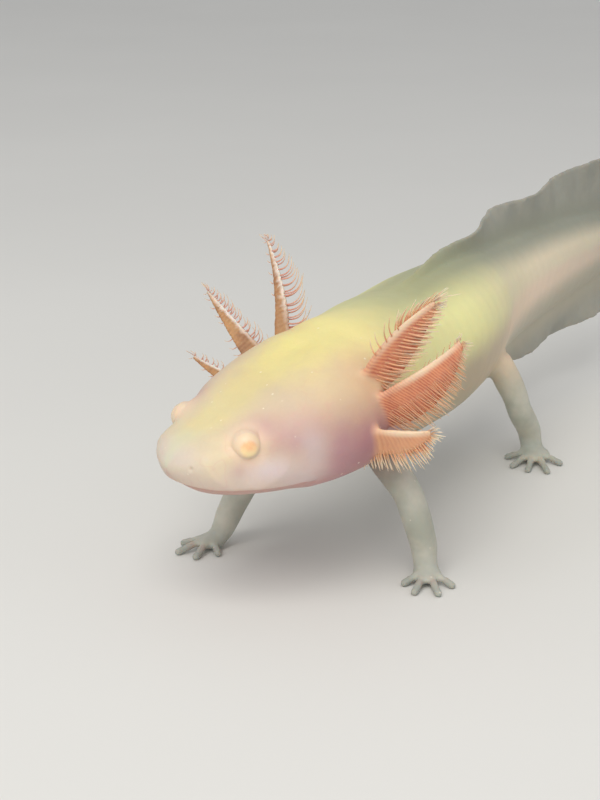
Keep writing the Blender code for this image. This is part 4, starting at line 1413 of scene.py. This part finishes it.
def body_colour(paint, station, level, clouds, patches):
    """Pale gold on the head's top and on the flank, pinker below, by the place along and round the
    body. The tables also paint shade on the trunk's back and the throat, and light on the tail's
    base.
    """
    near_head = paint.between(station, 44.0, 30.0)
    drift = station + (clouds - 0.5) * 8.0
    tilt = level + (clouds - 0.5) * (0.1 + near_head * 0.2) + (patches - 0.5) * near_head * 0.1
    colour = along_body(paint, drift, BELLY_COLOURS)
    for low, high, colours in (
        (-0.8, -0.35, LOW_SIDE_COLOURS), (-0.22, 0.18, SIDE_COLOURS), (0.36, 0.84, BACK_COLOURS),
    ):
        upper = along_body(paint, drift, colours)
        colour = paint.mix(paint.between(tilt, low, high), colour, upper)
    return colour


def blush(paint, colour, station, patches):
    """Pink, lilac and pale places of the head and of the gills' roots, with painted shade in the
    rose patches of the cheek's back and throat and on the lower jaw.
    """
    colour = paint.mix(paint.mark("flush") * 0.5, colour, (206, 160, 136))
    pink = paint.mark("pink") * (0.8 + paint.between(patches, 0.25, 0.7) * 0.2)
    # The rose darkens from station 13 to 20: painted shade on the cheek's back and the throat, over
    # their pink
    rose_and_shade = paint.mix(paint.between(station, 13.0, 20.0), (184, 138, 146), (172, 124, 134))
    colour = paint.mix(pink, colour, rose_and_shade)
    colour = paint.mix(paint.mark("lilac") * 0.8, colour, (208, 194, 197))
    colour = paint.mix(paint.mark("by_eye") * 0.6, colour, (228, 200, 176))
    # Darker pink on the lower jaw: its own tone and painted shade under the upper lip
    return paint.mix(paint.mark("jaw") * 0.75, colour, (190, 150, 142))


def add_vessels(paint, colour, level, clouds, on_head):
    """Fine red vessels under the thin skin of the head."""
    vessel = paint.between(abs(paint.noise(3.4, 0.2, 2.0, 0.5, 0.4) - 0.5), 0.03, 0.0)
    where = paint.between(clouds, 0.42, 0.6) * paint.between(level, 0.75, 0.3) * on_head
    return paint.mix(vessel * where * 0.14, colour, (206, 150, 146))


def limb_colour(paint, colour, clouds):
    """Greyer fins and legs, and painted shade that darkens the toes and palms."""
    fin_colour = paint.mix(paint.between(clouds, 0.3, 0.7), (150, 150, 141), (164, 162, 151))
    colour = paint.mix(paint.mark("fin") * 0.85, colour, fin_colour)
    leg_colour = paint.mix(paint.between(clouds, 0.35, 0.65), (170, 173, 160), (189, 188, 175))
    colour = paint.mix(paint.mark("leg") * 0.92, colour, leg_colour)
    # Painted shade on the toes and round the palms
    return paint.mix(paint.mark("toe") * 0.75, colour, (152, 157, 150))


def stalk_colour(paint, patches, ribs, ridge, far_gill):
    """Salmon blades with pale ribs where the filaments lie, and browner ones on the far side, whose
    ridge is near white: a pale ridge and a painted highlight along it.
    """
    dark = paint.mix(paint.between(patches, 0.3, 0.7), (182, 104, 84), (202, 128, 98))
    vane = paint.mix(ribs * 0.55, dark, (228, 170, 128))
    vane = paint.mix(paint.mark("peach") * 0.65, vane, (216, 168, 130))
    near_stalk = paint.mix(ridge * 0.85, vane, (226, 206, 178))
    brown = paint.mix(paint.between(patches, 0.3, 0.7), (146, 106, 78), (178, 138, 96))
    far_stalk = paint.mix(ribs * 0.15, brown, (204, 164, 128))
    # Near white along the far gills' ridge: the pale ridge and a painted highlight
    far_stalk = paint.mix(ridge, far_stalk, (226, 216, 206))
    return paint.mix(far_gill, near_stalk, far_stalk)


def skin_paint():
    """Pale gold skin: pinker on the cheeks, throat and gills' roots, greyer on fins and feet."""
    paint = flesh("golden_skin", 0.4, 1.0, 0.3)
    station, level, gill = paint.mark("station"), paint.mark("level"), paint.mark("gill")
    ridge, far_gill = paint.mark("ridge"), paint.mark("far_gill")
    clouds = paint.noise(5.0, 0.1, 3.0, 0.55)
    patches = paint.noise(1.8, 0.3, 3.0, 0.6)
    grain = paint.noise(0.45, 0.5, 2.0, 0.5)
    on_head = paint.between(station, 30.0, 24.0) * (1 - gill)
    colour = body_colour(paint, station, level, clouds, patches)
    colour = blush(paint, colour, station, patches)
    colour = add_vessels(paint, colour, level, clouds, on_head)
    colour = limb_colour(paint, colour, clouds)
    turn = (paint.mark("rib") + patches * 1.3) * (2 * math.pi)
    ribs = 0.5 + turn.sine() * 0.5
    colour = paint.mix(gill, colour, stalk_colour(paint, patches, ribs, ridge, far_gill))
    # Cloudy and grainy shading over everything
    shade = 0.9 + clouds * 0.08 + patches * 0.06 * (1 - paint.mark("fin")) + grain * 0.05
    grey = paint.node("ShaderNodeCombineColor", {}, {0: shade, 1: shade, 2: shade})
    colour = paint.mix(1.0, colour, grey, "MULTIPLY")
    # Tiny pale sense organs on the head, which also serve as painted glints of wet skin
    dot = paint.between(paint.cells(1.6, "F1", "Distance", 0.2), 0.12, 0.06)
    chosen = paint.between(paint.cells(1.6, "F1", "Color", 0.2), 0.5, 0.58)
    dots_and_glints = dot * chosen * on_head
    colour = paint.mix(dots_and_glints * 0.6, colour, (240, 230, 214))
    roughness = 0.5 + (clouds - 0.5) * 0.16 + (grain - 0.5) * 0.12 - dots_and_glints * 0.15
    pores = paint.cells(0.3, "SMOOTH_F1", "Distance", 0.4)
    relief = grain * 0.5 + patches * 0.7 + pores * 0.3 + dots_and_glints * 0.3
    relief = relief + ribs * gill * (1 - ridge) * (1 - far_gill * 0.7)
    normal = paint.bump(relief, 0.04, 0.5)
    return paint.shade(base_color=colour, roughness=roughness, normal=normal)


def eye_paint():
    """A pale ring round a soft orange iris, bright gold below, under a wet cornea."""
    paint = flesh("eye_wet", 0.3, 0.4, 0.4)
    off, up = paint.mark("from_axis"), paint.mark("eye_up")
    clouds = paint.noise(0.4, 0.2, 3.0, 0.6)
    off = off + (clouds - 0.5) * 0.04
    iris = paint.mix(paint.between(up, 0.5, -0.3), (232, 182, 136), (248, 220, 168))
    iris = paint.mix(paint.between(clouds, 0.35, 0.75) * 0.3, iris, (250, 224, 180))
    pupil = paint.between(off, 0.46, 0.0) * paint.between(up, -0.3, 0.25)
    colour = paint.mix(pupil * 0.5, iris, (230, 166, 116))
    colour = paint.mix(paint.between(off, 0.4, 0.7), colour, (228, 204, 174))
    return paint.shade(base_color=colour, roughness=0.16 + (clouds - 0.5) * 0.06)


def gill_paint():
    """Filaments: salmon at the root, orange cream at the tip."""
    paint = flesh("gill_filaments", 0.5, 0.5, 0.3)
    along, tint = paint.mark("along"), paint.mark("tint")
    root = paint.mix(tint, (204, 138, 110), (224, 168, 128))
    tip = paint.mix(tint, (204, 152, 118), (240, 216, 188))
    near = paint.mix(paint.between(along, 0.1, 0.8), root, tip)
    far = paint.mix(paint.between(along, 0.1, 0.9), (196, 146, 132), (216, 186, 162))
    colour = paint.mix(paint.mark("far_gill"), near, far)
    clouds = paint.noise(0.6, 0.7, 2.0)
    colour = paint.mix(paint.between(clouds, 0.4, 0.8) * 0.25, colour, (206, 138, 116))
    return paint.shade(base_color=colour, roughness=0.45 + (clouds - 0.5) * 0.15)


def floor_paint():
    """Pale grey with faint wide clouds."""
    paint = Paint("pale_floor", specular_ior_level=0.25)
    clouds = paint.noise(90.0, 0.9, 3.0)
    colour = paint.mix(clouds, (214, 213, 209), (220, 219, 215))
    return paint.shade(base_color=colour, roughness=0.75 + (clouds - 0.5) * 0.1)


# ---------------------------------------------------------------- stage, light and camera

FLOOR_SIZE = 6.0  # metres
WORLD_COLOUR = (0.97, 0.98, 1.0, 1.0)
WORLD_STRENGTH = 0.58
# Soft square lamps: place from the model's middle, size (both in metres), power, colour
LAMPS = {
    "key": ((-0.42, -0.06, 0.50), 0.45, 2.6, (1.0, 0.98, 0.94)),
    "front": ((-0.60, -0.20, 0.20), 0.5, 0.8, (1.0, 0.98, 0.97)),
}
CAMERA_TURN = -64.29  # degrees from the way -Y faces
CAMERA_ELEVATION = 16.9
CAMERA_DISTANCE = 231.9
CAMERA_AIM = (-6.52, 0.0, 25.08)
CAMERA_LENS = 85.0


def set_camera():
    """A camera that faces its aim from the given turn, elevation and distance."""
    turn, tilt = math.radians(CAMERA_TURN), math.radians(CAMERA_ELEVATION)
    level = math.cos(tilt)
    back = np.array([math.sin(turn) * level, -math.cos(turn) * level, math.sin(tilt)])
    data = bpy.data.cameras.new("camera")
    data.lens, data.sensor_width, data.sensor_fit = CAMERA_LENS, 36.0, "AUTO"
    data.clip_start, data.clip_end = 0.01, 20.0
    camera = new_object("camera", data)
    camera.location = in_frame(np.array(CAMERA_AIM) + back * CAMERA_DISTANCE)
    camera.rotation_euler = Vector(back).to_track_quat("Z", "Y").to_euler()
    bpy.context.scene.camera = camera


def add_lamp(name, aim, offset, size, power, colour):
    """A soft square lamp at an offset from the point that it faces."""
    data = bpy.data.lights.new(name, "AREA")
    data.shape, data.size, data.energy, data.color = "SQUARE", size, power, colour
    lamp = new_object(name, data)
    lamp.location = aim + offset
    lamp.rotation_euler = Vector(offset).to_track_quat("Z", "Y").to_euler()


def set_stage():
    """A pale floor under the feet, an even pale world and two lamps."""
    low, high = np.array(CAD_BOX)
    half = FLOOR_SIZE / 2
    corners = [(half * x, half * y, low[2]) for x, y in ((-1, -1), (1, -1), (1, 1), (-1, 1))]
    data = bpy.data.meshes.new("floor")
    data.from_pydata(corners, [], [(0, 1, 2, 3)])
    data.materials.append(floor_paint())
    new_object("floor", data)
    world = bpy.data.worlds.new("studio")
    world.use_nodes = True
    background = world.node_tree.nodes["Background"]
    background.inputs["Color"].default_value = WORLD_COLOUR
    background.inputs["Strength"].default_value = WORLD_STRENGTH
    bpy.context.scene.world = world
    bpy.context.scene.view_settings.view_transform = "Standard"
    for name, lamp in LAMPS.items():
        add_lamp(name, (low + high) / 2, *lamp)


def build():
    """Makes the pieces, then the stage and the camera."""
    draw = np.random.default_rng(SEED)
    make_skin(skin_paint())
    eye_material, gill_material = eye_paint(), gill_paint()
    for name, side in (("eye_left", 1), ("eye_right", -1)):
        make_eye(name, side, eye_material)
    for name in GILLS:
        make_filaments(name, gill_material, draw)
    set_stage()
    set_camera()
    bpy.context.view_layer.update()


build()
